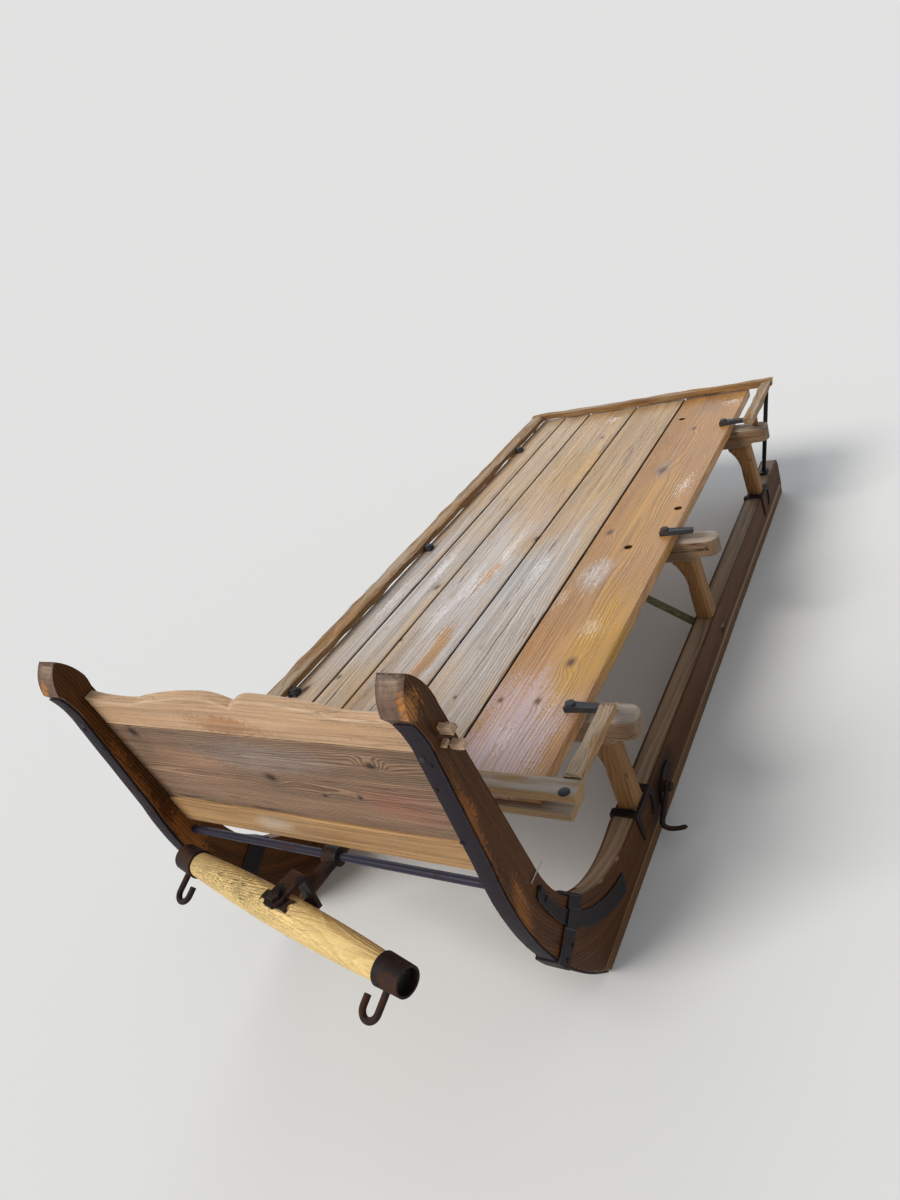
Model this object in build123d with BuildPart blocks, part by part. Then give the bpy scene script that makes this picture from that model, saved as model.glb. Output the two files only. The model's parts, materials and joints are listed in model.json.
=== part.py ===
"""Farm sled with tall horned runners, a plank bed on three cross-beams and a swingletree.

Millimetres. The sled faces -Y, its own left side is +X, and the soles stand on Z = 0.
Each timber and each forging is a solid of its own.
"""
import os
from math import atan2, cos, degrees, hypot, radians, sin, tan

from build123d import *

os.makedirs("parts", exist_ok=True)

SIDES = (("left", 1), ("right", -1))

# Runners and horns
track = 800.0  # over the runners' outer faces
runner_width = 52.0
horn_width = 38.0  # the inner face narrows to this in front
nose_width = 46.0
taper_rear_y = -560.0  # between these the runner narrows
taper_front_y = -790.0
swell_above_board = 7.0  # where the horn starts to widen again to its nose
swell_height = 28.0
runner_height = 138.0  # timber and sole together
sole_height = 31.0
rear_end = 1210.0
rear_bevel = 26.0
toe_y = -796.0  # where the sole leaves the ground
horn_height = 864.0
horn_tip_y = -1007.0
nose_y = -1034.0
nose_z = 808.0
nose_bulge = 7.0  # how far the rounded end stands in front of its chord
neck_y = -1010.0  # front face just under the nose
neck_z = 720.0
band_top_y = -1027.0  # front face where the iron band ends under the nose
band_top_z = 798.0
neck_hollow = 4.0  # how far the front face sinks behind its chord there
crown_bulge = 9.0  # how far the top swells above its chord
crown_drop = 80.0  # from the top down to where the straight back starts
foot_arc_y = -992.0  # front face, top of the arc that comes down to the toe
foot_arc_z = 500.0
toe_bulge = 50.0  # how far that arc stands in front of its chord
back_lean = 9.7  # degrees, of the horn's back
heel_y = -858.0  # where the back of the horn would meet the runner's top
heel_radius = 310.0
peg_hole_y = 242.0  # oval hole in each runner's outer face
peg_hole_z = 63.0
peg_hole_length = 24.0
peg_hole_height = 15.0
peg_hole_depth = 22.0

# Irons on the runners
band_width = 32.0
band_thickness = 5.0
band_set_in = 2.0  # from the horn's outer face
band_lift = 6.0
# crescent plate on the bend: its two edges at three angles, in degrees, round the heel
crescent_inner_angles = (194.0, 230.0, 260.0)
crescent_outer_angles = (198.0, 229.0, 260.0)
crescent_inner_reach = (14.0, 25.0, 33.0)  # how far out from the heel they lie there
crescent_outer_reach = (35.0, 55.0, 78.0)
crescent_end_bulge = 9.0
strap_heel_high = 216.0  # degrees round the heel where the strap's upper edge crosses it
strap_heel_low = 226.0
strap_front_high = 0.455  # share of the way up the front arc where its upper edge crosses
strap_front_low = 0.37
plate_thickness = 4.0
iron_strap_width = 20.0
iron_leg_gap = 2.0  # from a leg's foot to the straps before and behind it
iron_inner_reach = 24.0  # down the runner's inner face
iron_edge_width = 10.0  # of the bar along the runner's upper edge
# tails of the irons down the outer face: middle of the front edge, tip, middle of the rear edge
# columns: behind the strap's middle, below the runner's top
FRONT_TAIL = ((-5.0, 42.0), (4.0, 77.0), (9.0, 38.0))
REAR_TAIL = ((3.0, 38.0), (-7.0, 69.0), (18.0, 38.0))

# Cross-beams and legs
beam_depth = 62.0
beam_height = 60.0
beam_bottom = 326.0
beam_left_reach = 52.0  # past the runner's outer face
beam_right_reach = 68.0
beam_end_rise = 12.0
leg_depth = 54.0
leg_foot_width = 46.0
leg_neck_width = 43.0
leg_shoulder_width = 65.0
leg_shoulder_height = 96.0
leg_outer_lean = 8.0
leg_chamfer = 8.0
leg_shoulder_hollow = 9.0  # of the curve from the shoulder to the neck
leg_overrun = 20.0  # cut off again at the beam and the runner
# columns: name, y of the beam, how far the foot stands behind the beam
BEAMS = (("front", -502.0, 10.0), ("middle", 195.0, 18.0), ("rear", 900.0, 38.0))

# Bed
plank_thickness = 27.0
plank_gap = 4.0
plank_front = -760.0
plank_rear = 1173.0
plank_chamfer = 2.5
rail_bed = 1.0  # how deep the end rails are let into the planks
rail_bed_margin = 1.0  # how far the bed reaches past the rail
bed_left_set_in = 50.0  # from the runner's outer face to the bed's edge
bed_right_reach = 18.0
PLANK_SEAMS = (133.0, -42.0, -226.0, -326.0)  # from the sled's left to its right
knot_hole_radius = 10.0
# columns: from the bed's left edge, y
KNOT_HOLES = ((180.0, 972.0), (25.0, 308.0), (103.0, 109.0))

# Rails
rail_width = 30.0
rail_height = 28.0
rail_round = 6.0
left_rail_reach = 0.0  # from the runner's outer face to the rail's inner one
right_rail_reach = 32.0
left_rail_break = -525.0  # where the front piece of the left rail is broken off
left_rail_stub = 830.0  # where the rear piece of the left rail starts
rear_rail_front = 1153.0
front_rail_rear = -736.0
front_rail_depth = 40.0
front_rail_height = 22.0
lower_rail_height = 20.0
lower_rail_depth = 64.0
lower_rail_set_in = -14.0  # from the planks' front ends
lower_rail_short = 20.0  # at each end
board_chamfer = 2.0
dowel_radius = 9.0
clip_thickness = 12.0
clip_width = 24.0
clip_overlap = 33.0
clip_forward = 30.0  # in front of the beam's middle
clip_bolt_radius = 10.0
clip_bolt_height = 5.0
clip_bolt_set_in = 12.0  # from the clip's end

# Head board
board_lean = 8.0  # degrees forward
board_set_in = 33.0  # from the horn's back to the board's front face at board_z
board_z = 600.0
board_thickness = 22.0
board_low = 496.0
board_seam = 705.0
board_top = 775.0
board_dip = 10.0
board_dip_x = 235.0
board_hump_x = 60.0
board_hump = 15.0
board_notch = 4.0
board_notch_x = 10.0
board_end_sag = 4.0  # of the arcs along the top edge, from their chords
board_dip_swell = 5.0
board_notch_swell = 6.0
batten_low = 424.0
batten_proud = 5.0
batten_round = 4.0
# wedged ends of the board's tenon outside the horn, columns: in front of the board's face,
# depth, middle above the seam, height, reach out from the horn
TENON_BLOCKS = ((15.0, 24.0, 29.0, 46.0, 32.0), (1.0, 16.0, 46.0, 35.0, 25.0))
wedge_width = 13.0  # small slanted wedge between them
wedge_depth = 12.0
wedge_height = 30.0
wedge_slant = 24.0  # degrees

# Draught rod, link and swingletree
rod_set_in = 46.0  # from the horn's back
rod_z = 396.0
rod_radius = 8.0
link_x = 20.0
link_reach = 132.5  # rod to swingletree bolt
link_yaw = -11.5  # degrees, seen from above
pin_clearance = 0.4
eye_radius = 18.0
eye_width = 34.0
eye_shift = -8.0  # of the eye's middle from the bar's
link_bar_width = 22.0
link_bar_height = 14.0
jaw_width = 38.0
jaw_thickness = 7.0
jaw_clearance = 0.5
jaw_web_reach = 50.0  # bolt to the inside of the web, so that the swingletree can swing
bolt_radius = 6.5
bolt_head_width = 22.0
bolt_head_height = 8.0
tree_shift = -8.0  # of the bar's middle from its bolt
tree_half = 296.0
tree_mid_radius = 31.0
tree_end_radius = 21.0
tree_flat = 3.0  # depth of the seats planed for the iron plates
tree_plate_length = 74.0
tree_plate_waist = 16.0
tree_plate_tail = 26.0
tree_plate_notch = 10.0
ferrule_wall = 4.0
ferrule_length = 38.0  # over the ash
ferrule_lip = 14.0  # past the ash's end
hook_bar_radius = 6.0
hook_reach = 50.0
hook_bend_radius = 16.0
hook_set_in = 16.0  # from the swingletree's end to the hook's root
hook_tip_gap = 14.0  # from the iron cap to the hook's tip
hook_drop = 29.0  # degrees that the hooks hang below level

# Drag claws on the runners' outer faces
claw_y = -385.0
claw_z = 82.0
claw_gap = 10.0  # runner face to the claw's bar
claw_bar = 9.0
claw_bar_width = 15.0
claw_eye_radius = 14.0
claw_pin_radius = 6.0
claw_length = 88.0
claw_lean = 65.0  # degrees forward of straight down
claw_foot = 60.0  # from the bar's inner face to the foot's tip
claw_foot_drop = 12.0
claw_washer = 4.0
# leaf-shaped plate under the claw's pin, from its rear tip to its front one, from the pin
LEAF_TIPS = ((59.0, 22.0), (-26.0, -36.0))
leaf_bulge = 24.0

# Struts and stays
strut_radius = 11.0
strut_behind = 4.0  # of the middle beam's middle
strut_foot_z = 116.0
strut_top_x = 40.0
stay_radius = 7.0
stay_foot_y = 1088.0
stay_top_y = 1115.0
stay_pad = (26.0, 44.0, 6.0)

outer_x = track / 2
inner_x = outer_x - runner_width
horn_inner_x = outer_x - horn_width
runner_mid = (inner_x + outer_x) / 2
beam_left = outer_x + beam_left_reach
beam_right = outer_x + beam_right_reach
left_rail_x = outer_x + left_rail_reach
right_rail_x = -outer_x - right_rail_reach
plank_edges = (outer_x - bed_left_set_in, *PLANK_SEAMS, -outer_x - bed_right_reach)
beam_top = beam_bottom + beam_height
deck_top = beam_top + plank_thickness
swell_z = board_top + swell_above_board


def horn_back_y(z):
    """Where the straight back of the horn is at height z."""
    return heel_y - (z - runner_height) * tan(radians(back_lean))


heel_centre = (
    horn_back_y(runner_height + heel_radius) + heel_radius / cos(radians(back_lean)),
    runner_height + heel_radius,
)


def round_heel(angle, out):
    """The point at an angle round the heel's centre and a distance out from its curve."""
    reach = heel_radius + out
    return (
        heel_centre[0] + reach * cos(radians(angle)),
        heel_centre[1] + reach * sin(radians(angle)),
    )


def between(a, b, t):
    """The point a share t of the way from a to b."""
    return tuple(p + (q - p) * t for p, q in zip(a, b))


def bulged(a, b, rise):
    """The middle point of an arc from a to b that stands rise to the right of its chord."""
    dx, dy = b[0] - a[0], b[1] - a[1]
    span = hypot(dx, dy)
    mid = between(a, b, 0.5)
    return (mid[0] + rise * dy / span, mid[1] - rise * dx / span)


def front_path(shift=0.0):
    """The three edges of a horn's front face, from the toe up, moved forward by shift."""
    toe = (toe_y - shift, 0)
    foot = (foot_arc_y - shift, foot_arc_z)
    neck = (neck_y - shift, neck_z)
    top = (band_top_y - shift, band_top_z)
    return (
        ThreePointArc(toe, bulged(toe, foot, -toe_bulge), foot),
        Line(foot, neck),
        ThreePointArc(neck, bulged(neck, top, neck_hollow), top),
    )


def horn_side_view():
    """The outline of a runner with its horn and sole, seen from the side."""
    nose = (nose_y, nose_z)
    tip = (horn_tip_y, horn_height)
    back_z = horn_height - crown_drop
    back = (horn_back_y(back_z), back_z)
    with BuildSketch(Plane.YZ) as view:
        with BuildLine():
            front_path()
            Polyline((rear_end, 0), (toe_y, 0))
            Line((band_top_y, band_top_z), nose)
            ThreePointArc(nose, bulged(nose, tip, -nose_bulge), tip)
            ThreePointArc(tip, bulged(tip, back, -crown_bulge), back)
            FilletPolyline(
                back,
                (heel_y, runner_height),
                (rear_end - rear_bevel, runner_height),
                radius=heel_radius,
            )
            Polyline(
                (rear_end - rear_bevel, runner_height),
                (rear_end - rear_bevel / 3, runner_height - rear_bevel),
                (rear_end, 0),
            )
        make_face()
    return view.sketch


def band_side_view():
    """The iron band seen from the side: the horn's front face and the same moved forward."""
    with BuildSketch(Plane.YZ) as view:
        with BuildLine():
            front_path()
            front_path(band_thickness)
            Line((toe_y, 0), (toe_y - band_thickness, 0))
            Line((band_top_y, band_top_z), (band_top_y - band_thickness, band_top_z))
        make_face()
    return view.sketch


def crescent_side_view():
    """The crescent plate on the bend, rounded at its upper end and cut off behind."""
    inner = [round_heel(*place) for place in zip(crescent_inner_angles, crescent_inner_reach)]
    outer = [round_heel(*place) for place in zip(crescent_outer_angles, crescent_outer_reach)]
    with BuildSketch(Plane.YZ) as view:
        with BuildLine():
            ThreePointArc(*inner)
            Line(inner[-1], outer[-1])
            ThreePointArc(*outer)
            ThreePointArc(inner[0], bulged(inner[0], outer[0], crescent_end_bulge), outer[0])
        make_face()
    return view.sketch


def strap_side_view():
    """The strap round the foot of the horn, a plate's thickness outside what it wraps."""
    front = front_path(band_thickness + plate_thickness)[0]
    front_mid = (strap_front_low + strap_front_high) / 2
    heel_mid = (strap_heel_low + strap_heel_high) / 2
    low, middle, high = (
        (point.X, point.Y)
        for point in (front @ strap_front_low, front @ front_mid, front @ strap_front_high)
    )
    heel_low = round_heel(strap_heel_low, -plate_thickness)
    heel_high = round_heel(strap_heel_high, -plate_thickness)
    with BuildSketch(Plane.YZ) as view:
        with BuildLine():
            ThreePointArc(low, middle, high)
            Line(high, heel_high)
            ThreePointArc(heel_high, round_heel(heel_mid, -plate_thickness), heel_low)
            Line(heel_low, low)
        make_face()
    return view.sketch


def inner_taper(side):
    """What is planed off a runner's inner face in front, seen from above."""
    with BuildSketch(Plane.XY) as cut:
        with BuildLine():
            Polyline(
                (side * inner_x, taper_rear_y),
                (side * horn_inner_x, taper_front_y),
                (side * horn_inner_x, 2 * nose_y),
                (side * (inner_x - runner_width), 2 * nose_y),
                (side * (inner_x - runner_width), taper_rear_y),
                close=True,
            )
        make_face()
    return cut.sketch


def nose_cheek(side):
    """What is cut off above the taper, beside the wider nose, seen from the front."""
    nose_inner_x = outer_x - nose_width
    with BuildSketch(Plane.XZ) as cut:
        with BuildLine():
            Polyline(
                (side * horn_inner_x, swell_z),
                (side * nose_inner_x, swell_z + swell_height),
                (side * nose_inner_x, 2 * horn_height),
                (side * (inner_x - runner_width), 2 * horn_height),
                (side * (inner_x - runner_width), swell_z),
                close=True,
            )
        make_face()
    return cut.sketch


def side_plate_plane(side, x):
    """A side-view plane whose normal points away from the sled's middle, at distance x."""
    return Plane(origin=(side * x, 0, 0), x_dir=(0, side, 0), z_dir=(side, 0, 0))


def out_of(side):
    """The alignment of a box that starts at a runner's outer face and stands outwards."""
    return Align.MIN if side > 0 else Align.MAX


def finish(piece, name):
    """Label one piece and write its file."""
    piece.part.label = name
    export_step(piece.part, f"parts/{name}.step")


# Runners, soles and the irons on the horns
side_view = horn_side_view()
band_view = band_side_view()
crescent_view = crescent_side_view()
strap_view = strap_side_view()
hump_view = offset(crescent_view, amount=plate_thickness) & strap_view
for side_name, side in SIDES:
    near_x = min(side * inner_x, side * outer_x)

    with BuildPart() as timber:
        extrude(side_view.moved(Location((near_x, 0, 0))), amount=runner_width, dir=(1, 0, 0))
        extrude(inner_taper(side), amount=swell_z, mode=Mode.SUBTRACT)
        extrude(nose_cheek(side), amount=-2 * nose_y, mode=Mode.SUBTRACT)
        with BuildSketch(Plane.YZ.offset(side * outer_x)):
            with Locations((peg_hole_y, peg_hole_z)):
                Ellipse(peg_hole_length / 2, peg_hole_height / 2)
        extrude(amount=peg_hole_depth, dir=(-side, 0, 0), mode=Mode.SUBTRACT)

    with BuildPart() as runner:
        add(timber.part)
        split(bisect_by=Plane.XY.offset(sole_height), keep=Keep.TOP)
    finish(runner, f"runner_{side_name}")

    with BuildPart() as sole:
        add(timber.part)
        split(bisect_by=Plane.XY.offset(sole_height), keep=Keep.BOTTOM)
    finish(sole, f"sole_{side_name}")

    with BuildPart() as band:
        band_x = side * (outer_x - band_set_in - band_width / 2) - band_width / 2
        extrude(band_view.moved(Location((band_x, 0, 0))), amount=band_width, dir=(1, 0, 0))
        split(bisect_by=Plane.XY.offset(band_lift), keep=Keep.TOP)
    finish(band, f"horn_band_{side_name}")

    # Crescent plate over the bend, on the outer face
    at_outer_face = Location((side * outer_x, 0, 0))
    with BuildPart() as crescent:
        extrude(crescent_view.moved(at_outer_face), amount=plate_thickness, dir=(side, 0, 0))
    finish(crescent, f"bend_plate_{side_name}")

    # Strap wrapped round the foot of the horn, raised where it crosses the crescent plate
    with BuildPart() as strap:
        extrude(
            strap_view.moved(Location((side * (horn_inner_x - plate_thickness), 0, 0))),
            amount=horn_width + 2 * plate_thickness,
            dir=(side, 0, 0),
        )
        extrude(hump_view.moved(at_outer_face), amount=2 * plate_thickness, dir=(side, 0, 0))
        add(timber.part, mode=Mode.SUBTRACT)
        add(band.part, mode=Mode.SUBTRACT)
        add(crescent.part, mode=Mode.SUBTRACT)
    finish(strap, f"bend_strap_{side_name}")

# Cross-beams: thick over the legs, thinner and rounded at the ends
for row, beam_y, rake in BEAMS:
    with BuildPart() as beam:
        with BuildSketch(Plane.XZ.offset(-beam_y)):
            with BuildLine():
                leg_top_out = outer_x - leg_outer_lean
                Polyline(
                    (-beam_right, beam_top),
                    (-beam_right, beam_bottom + beam_end_rise),
                    (-leg_top_out - beam_end_rise, beam_bottom + beam_end_rise),
                    (-leg_top_out, beam_bottom),
                    (leg_top_out, beam_bottom),
                    (leg_top_out + beam_end_rise, beam_bottom + beam_end_rise),
                    (beam_left, beam_bottom + beam_end_rise),
                    (beam_left, beam_top),
                    close=True,
                )
            make_face()
        extrude(amount=beam_depth / 2, both=True)
        with BuildSketch(Plane.XY.offset(beam_bottom)):
            with Locations(((beam_left - beam_right) / 2, beam_y)):
                SlotOverall(beam_left + beam_right, beam_depth)
        extrude(amount=beam_height, mode=Mode.INTERSECT)
    finish(beam, f"beam_{row}")

    # Legs: shouldered on the inside, leaning out to the runner's middle line
    leg_height = beam_bottom - runner_height
    for side_name, side in SIDES:
        foot_out = side * (runner_mid + leg_foot_width / 2)
        foot_in = side * (runner_mid - leg_foot_width / 2)
        top_out = side * (runner_mid + leg_foot_width / 2 - leg_outer_lean)
        top_in = top_out - side * leg_shoulder_width
        neck_out = foot_out + (top_out - foot_out) * 0.5
        neck_in = neck_out - side * leg_neck_width
        neck_h = leg_height - leg_shoulder_height
        rake_turn = degrees(atan2(rake, leg_height))
        leg_plane = Plane(
            origin=(0, beam_y, beam_bottom),
            x_dir=(1, 0, 0),
            z_dir=(0, -cos(radians(rake_turn)), -sin(radians(rake_turn))),
        )
        with BuildPart() as leg:
            with BuildSketch(leg_plane):
                with BuildLine():
                    low = -leg_height - leg_overrun
                    neck = neck_h - leg_height
                    Polyline(
                        (neck_in, neck),
                        (foot_in, -leg_height),
                        (foot_in, low),
                        (foot_out, low),
                        (foot_out, -leg_height),
                        (top_out, 0),
                        (top_out, leg_overrun),
                        (top_in, leg_overrun),
                        (top_in, -leg_chamfer),
                    )
                    ThreePointArc(
                        (top_in, -leg_chamfer),
                        bulged((top_in, -leg_chamfer), (neck_in, neck), -side * leg_shoulder_hollow),
                        (neck_in, neck),
                    )
                make_face()
            extrude(amount=leg_depth / 2, both=True)
            chamfer(
                leg.edges().filter_by(
                    lambda e: abs(e.tangent_at(0.5).X) < 0.9 and abs(e.tangent_at(0.5).Y) < 0.5
                ),
                leg_chamfer,
            )
            split(bisect_by=Plane.XY.offset(beam_bottom), keep=Keep.BOTTOM)
            split(bisect_by=Plane.XY.offset(runner_height), keep=Keep.TOP)
        finish(leg, f"leg_{row}_{side_name}")

# Irons that saddle the runner before and behind the front and rear legs' feet
for row, beam_y, rake in (BEAMS[0], BEAMS[2]):
    for side_name, side in SIDES:
        foot_y = beam_y + rake
        strap_step = leg_depth / 2 + iron_leg_gap + iron_strap_width / 2
        with BuildPart() as iron:
            for strap_y, tail in ((foot_y - strap_step, FRONT_TAIL), (foot_y + strap_step, REAR_TAIL)):
                with Locations((side * runner_mid, strap_y, runner_height)):
                    Box(
                        runner_width + 2 * plate_thickness,
                        iron_strap_width,
                        plate_thickness,
                        align=(Align.CENTER, Align.CENTER, Align.MIN),
                    )
                with Locations((side * (inner_x - plate_thickness / 2), strap_y, runner_height)):
                    Box(
                        plate_thickness,
                        iron_strap_width,
                        iron_inner_reach,
                        align=(Align.CENTER, Align.CENTER, Align.MAX),
                    )
                front_bend, tail_tip, rear_bend = (
                    (strap_y + behind, runner_height - below) for behind, below in tail
                )
                front_top = (strap_y - iron_strap_width / 2, runner_height)
                rear_top = (strap_y + iron_strap_width / 2, runner_height)
                with BuildSketch(Plane.YZ.offset(side * outer_x)):
                    with BuildLine():
                        ThreePointArc(front_top, front_bend, tail_tip)
                        ThreePointArc(tail_tip, rear_bend, rear_top)
                        Line(rear_top, front_top)
                    make_face()
                extrude(amount=plate_thickness, dir=(side, 0, 0))
            leg_outer = runner_mid + leg_foot_width / 2 + pin_clearance
            with Locations((side * (outer_x + plate_thickness / 2), foot_y, runner_height)):
                Box(
                    plate_thickness,
                    2 * strap_step,
                    iron_edge_width,
                    align=(Align.CENTER, Align.CENTER, Align.MAX),
                )
            with Locations((side * (leg_outer + outer_x + plate_thickness) / 2, foot_y, runner_height)):
                Box(
                    outer_x + plate_thickness - leg_outer,
                    2 * strap_step,
                    plate_thickness,
                    align=(Align.CENTER, Align.CENTER, Align.MIN),
                )
        finish(iron, f"leg_iron_{row}_{side_name}")

# Bed planks, lengthwise, the widest with its knot holes; the end rails are let into them
front_bed = front_rail_rear - plank_front + rail_bed_margin
rear_bed = plank_rear - rear_rail_front + rail_bed_margin
for number, (left_edge, right_edge) in enumerate(zip(plank_edges, plank_edges[1:]), start=1):
    plank_left = left_edge - (plank_gap / 2 if number > 1 else 0)
    plank_right = right_edge + (plank_gap / 2 if number < len(plank_edges) - 1 else 0)
    with BuildPart() as plank:
        with Locations(((plank_left + plank_right) / 2, (plank_front + plank_rear) / 2, beam_top)):
            Box(
                plank_left - plank_right,
                plank_rear - plank_front,
                plank_thickness,
                align=(Align.CENTER, Align.CENTER, Align.MIN),
            )
        chamfer(plank.faces().sort_by(Axis.Z)[-1].edges().filter_by(Axis.Y), plank_chamfer)
        for bed_y, reach in ((plank_front, Align.MIN), (plank_rear, Align.MAX)):
            bed_depth = front_bed if reach == Align.MIN else rear_bed
            with Locations((0, bed_y, deck_top)):
                Box(
                    2 * track,
                    bed_depth,
                    rail_bed,
                    align=(Align.CENTER, reach, Align.MAX),
                    mode=Mode.SUBTRACT,
                )
        if number == 1:
            with Locations([(left_edge - inwards, y, deck_top) for inwards, y in KNOT_HOLES]):
                Hole(knot_hole_radius, depth=plank_thickness)
    finish(plank, f"plank_{number}")


front_beam_y, middle_beam_y, rear_beam_y = (beam_y for row, beam_y, rake in BEAMS)
# columns: name, inner face x, front end, rear end
SIDE_RAILS = (
    ("rail_right", right_rail_x, front_rail_rear, rear_rail_front),
    ("rail_left_front", left_rail_x, front_rail_rear, left_rail_break),
    ("rail_left_rear", left_rail_x, left_rail_stub, rear_rail_front),
)
for rail_name, inner_face, y_front, y_rear in SIDE_RAILS:
    outwards = 1 if inner_face > 0 else -1
    with BuildPart() as rail:
        with Locations((inner_face + outwards * rail_width / 2, (y_front + y_rear) / 2, deck_top)):
            Box(rail_width, y_rear - y_front, rail_height, align=(Align.CENTER, Align.CENTER, Align.MIN))
        fillet(rail.edges().filter_by(Axis.Y), rail_round)
    finish(rail, rail_name)

# Dowels that stand in the beams' ends and carry the side rails
# columns: name, inner face x of the rail, y
DOWELS = (
    ("front_right", right_rail_x, front_beam_y),
    ("middle_right", right_rail_x, middle_beam_y),
    ("rear_right", right_rail_x, rear_beam_y),
    ("rear_left", left_rail_x, rear_beam_y),
)
for dowel_name, inner_face, dowel_y in DOWELS:
    outwards = 1 if inner_face > 0 else -1
    with BuildPart() as dowel:
        with Locations((inner_face + outwards * rail_width / 2, dowel_y, beam_top)):
            Cylinder(
                dowel_radius, plank_thickness, align=(Align.CENTER, Align.CENTER, Align.MIN)
            )
    finish(dowel, f"dowel_{dowel_name}")

rail_span = (right_rail_x - rail_width, left_rail_x + rail_width)
with BuildPart() as rail_rear:
    with Locations((sum(rail_span) / 2, rear_rail_front, deck_top - rail_bed)):
        Box(
            rail_span[1] - rail_span[0],
            rail_width,
            rail_height + rail_bed,
            align=(Align.CENTER, Align.MIN, Align.MIN),
        )
    fillet(rail_rear.edges().filter_by(Axis.X), rail_round)
finish(rail_rear, "rail_rear")

with BuildPart() as front_rail:
    with Locations((sum(rail_span) / 2, front_rail_rear, deck_top - rail_bed)):
        Box(
            rail_span[1] - rail_span[0],
            front_rail_depth,
            front_rail_height + rail_bed,
            align=(Align.CENTER, Align.MAX, Align.MIN),
        )
    chamfer(front_rail.edges().filter_by(Axis.X), board_chamfer)
finish(front_rail, "front_rail_upper")

with BuildPart() as lower_rail:
    with Locations((sum(rail_span) / 2, plank_front + lower_rail_set_in, beam_top)):
        Box(
            rail_span[1] - rail_span[0] - 2 * lower_rail_short,
            lower_rail_depth,
            lower_rail_height,
            align=(Align.CENTER, Align.MIN, Align.MAX),
        )
    chamfer(lower_rail.edges().filter_by(Axis.X), board_chamfer)
finish(lower_rail, "front_rail_lower")

# Clips from the rails over the outer planks' edges, with a bolt head
with BuildPart() as clips:
    for row, beam_y, rake in BEAMS:
        clip_y = beam_y - clip_forward
        for edge_x, rail_x in ((plank_edges[0], left_rail_x), (plank_edges[-1], right_rail_x)):
            outwards = 1 if rail_x > 0 else -1
            start_x = edge_x - outwards * clip_overlap
            with Locations(((start_x + rail_x) / 2, clip_y, deck_top)):
                Box(
                    abs(rail_x - start_x),
                    clip_width,
                    clip_thickness,
                    align=(Align.CENTER, Align.CENTER, Align.MIN),
                )
            bolt_x = start_x + outwards * clip_bolt_set_in
            with Locations((bolt_x, clip_y, deck_top + clip_thickness)):
                Cylinder(
                    clip_bolt_radius,
                    clip_bolt_height,
                    align=(Align.CENTER, Align.CENTER, Align.MIN),
                )
finish(clips, "plank_clips")

# Head board of two boards and a batten, leaning with the horns
lean = radians(board_lean)
board_y = horn_back_y(board_z) - board_set_in
board_plane = Plane(
    origin=(0, board_y, board_z), x_dir=(1, 0, 0), z_dir=(0, -cos(lean), -sin(lean))
)


def up_board(z):
    """Height z as a distance up the leaning board."""
    return (z - board_z) / cos(lean)


with BuildPart() as top_board:
    with BuildSketch(board_plane):
        # columns: x, above board_top, bulge of the arc to the next point
        edge = (
            (-horn_inner_x, 0, -board_end_sag),
            (-board_dip_x, -board_dip, board_dip_swell),
            (-board_hump_x, board_hump, board_notch_swell),
            (board_notch_x, -board_notch, board_notch_swell),
            (board_hump_x, board_hump, board_dip_swell),
            (board_dip_x, -board_dip, -board_end_sag),
            (horn_inner_x, 0, 0),
        )
        with BuildLine():
            for (x, above, swell), (next_x, next_above, _) in zip(edge, edge[1:]):
                start = (x, up_board(board_top + above))
                stop = (next_x, up_board(board_top + next_above))
                ThreePointArc(start, bulged(start, stop, -swell), stop)
            Polyline(
                (-horn_inner_x, up_board(board_top)),
                (-horn_inner_x, up_board(board_seam)),
                (horn_inner_x, up_board(board_seam)),
                (horn_inner_x, up_board(board_top)),
            )
        make_face()
    extrude(amount=-board_thickness)
finish(top_board, "head_board_top")

with BuildPart() as middle_board:
    with BuildSketch(board_plane):
        with Locations((0, up_board((board_low + board_seam) / 2))):
            Rectangle(2 * horn_inner_x, up_board(board_seam) - up_board(board_low))
    extrude(amount=-board_thickness)
finish(middle_board, "head_board_middle")

with BuildPart() as batten:
    with BuildSketch(board_plane.offset(batten_proud)):
        with Locations((0, up_board((batten_low + board_low) / 2))):
            Rectangle(2 * horn_inner_x, up_board(board_low) - up_board(batten_low))
    extrude(amount=-board_thickness - batten_proud)
    fillet(batten.faces().sort_by(Axis.Y)[0].edges().filter_by(Axis.X), batten_round)
finish(batten, "head_batten")

# Tenon ends of the top board outside the horns, with a small wedge driven between them
for side_name, side in SIDES:
    with BuildPart() as tenon:
        for forward, depth, above_seam, height, reach in TENON_BLOCKS:
            block_z = board_seam + above_seam
            block_front = board_y - (block_z - board_z) * tan(lean) - forward
            with Locations((side * outer_x, block_front, block_z)):
                Box(reach, depth, height, align=(out_of(side), Align.MIN, Align.CENTER))
        low_front = board_y - (board_seam - board_z) * tan(lean) - TENON_BLOCKS[0][0]
        wedge_z = board_seam + TENON_BLOCKS[0][2]
        with BuildSketch(side_plate_plane(side, outer_x)):
            with Locations((side * low_front, wedge_z)):
                Rectangle(wedge_depth, wedge_height, rotation=side * wedge_slant)
        extrude(amount=wedge_width)
    finish(tenon, f"board_wedge_{side_name}")

# Draught rod between the horns
rod_y = horn_back_y(rod_z) - rod_set_in
with BuildPart() as rod:
    with Locations(Location((0, rod_y, rod_z), (0, 90, 0))):
        Cylinder(rod_radius, 2 * horn_inner_x)
finish(rod, "draught_rod")

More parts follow.
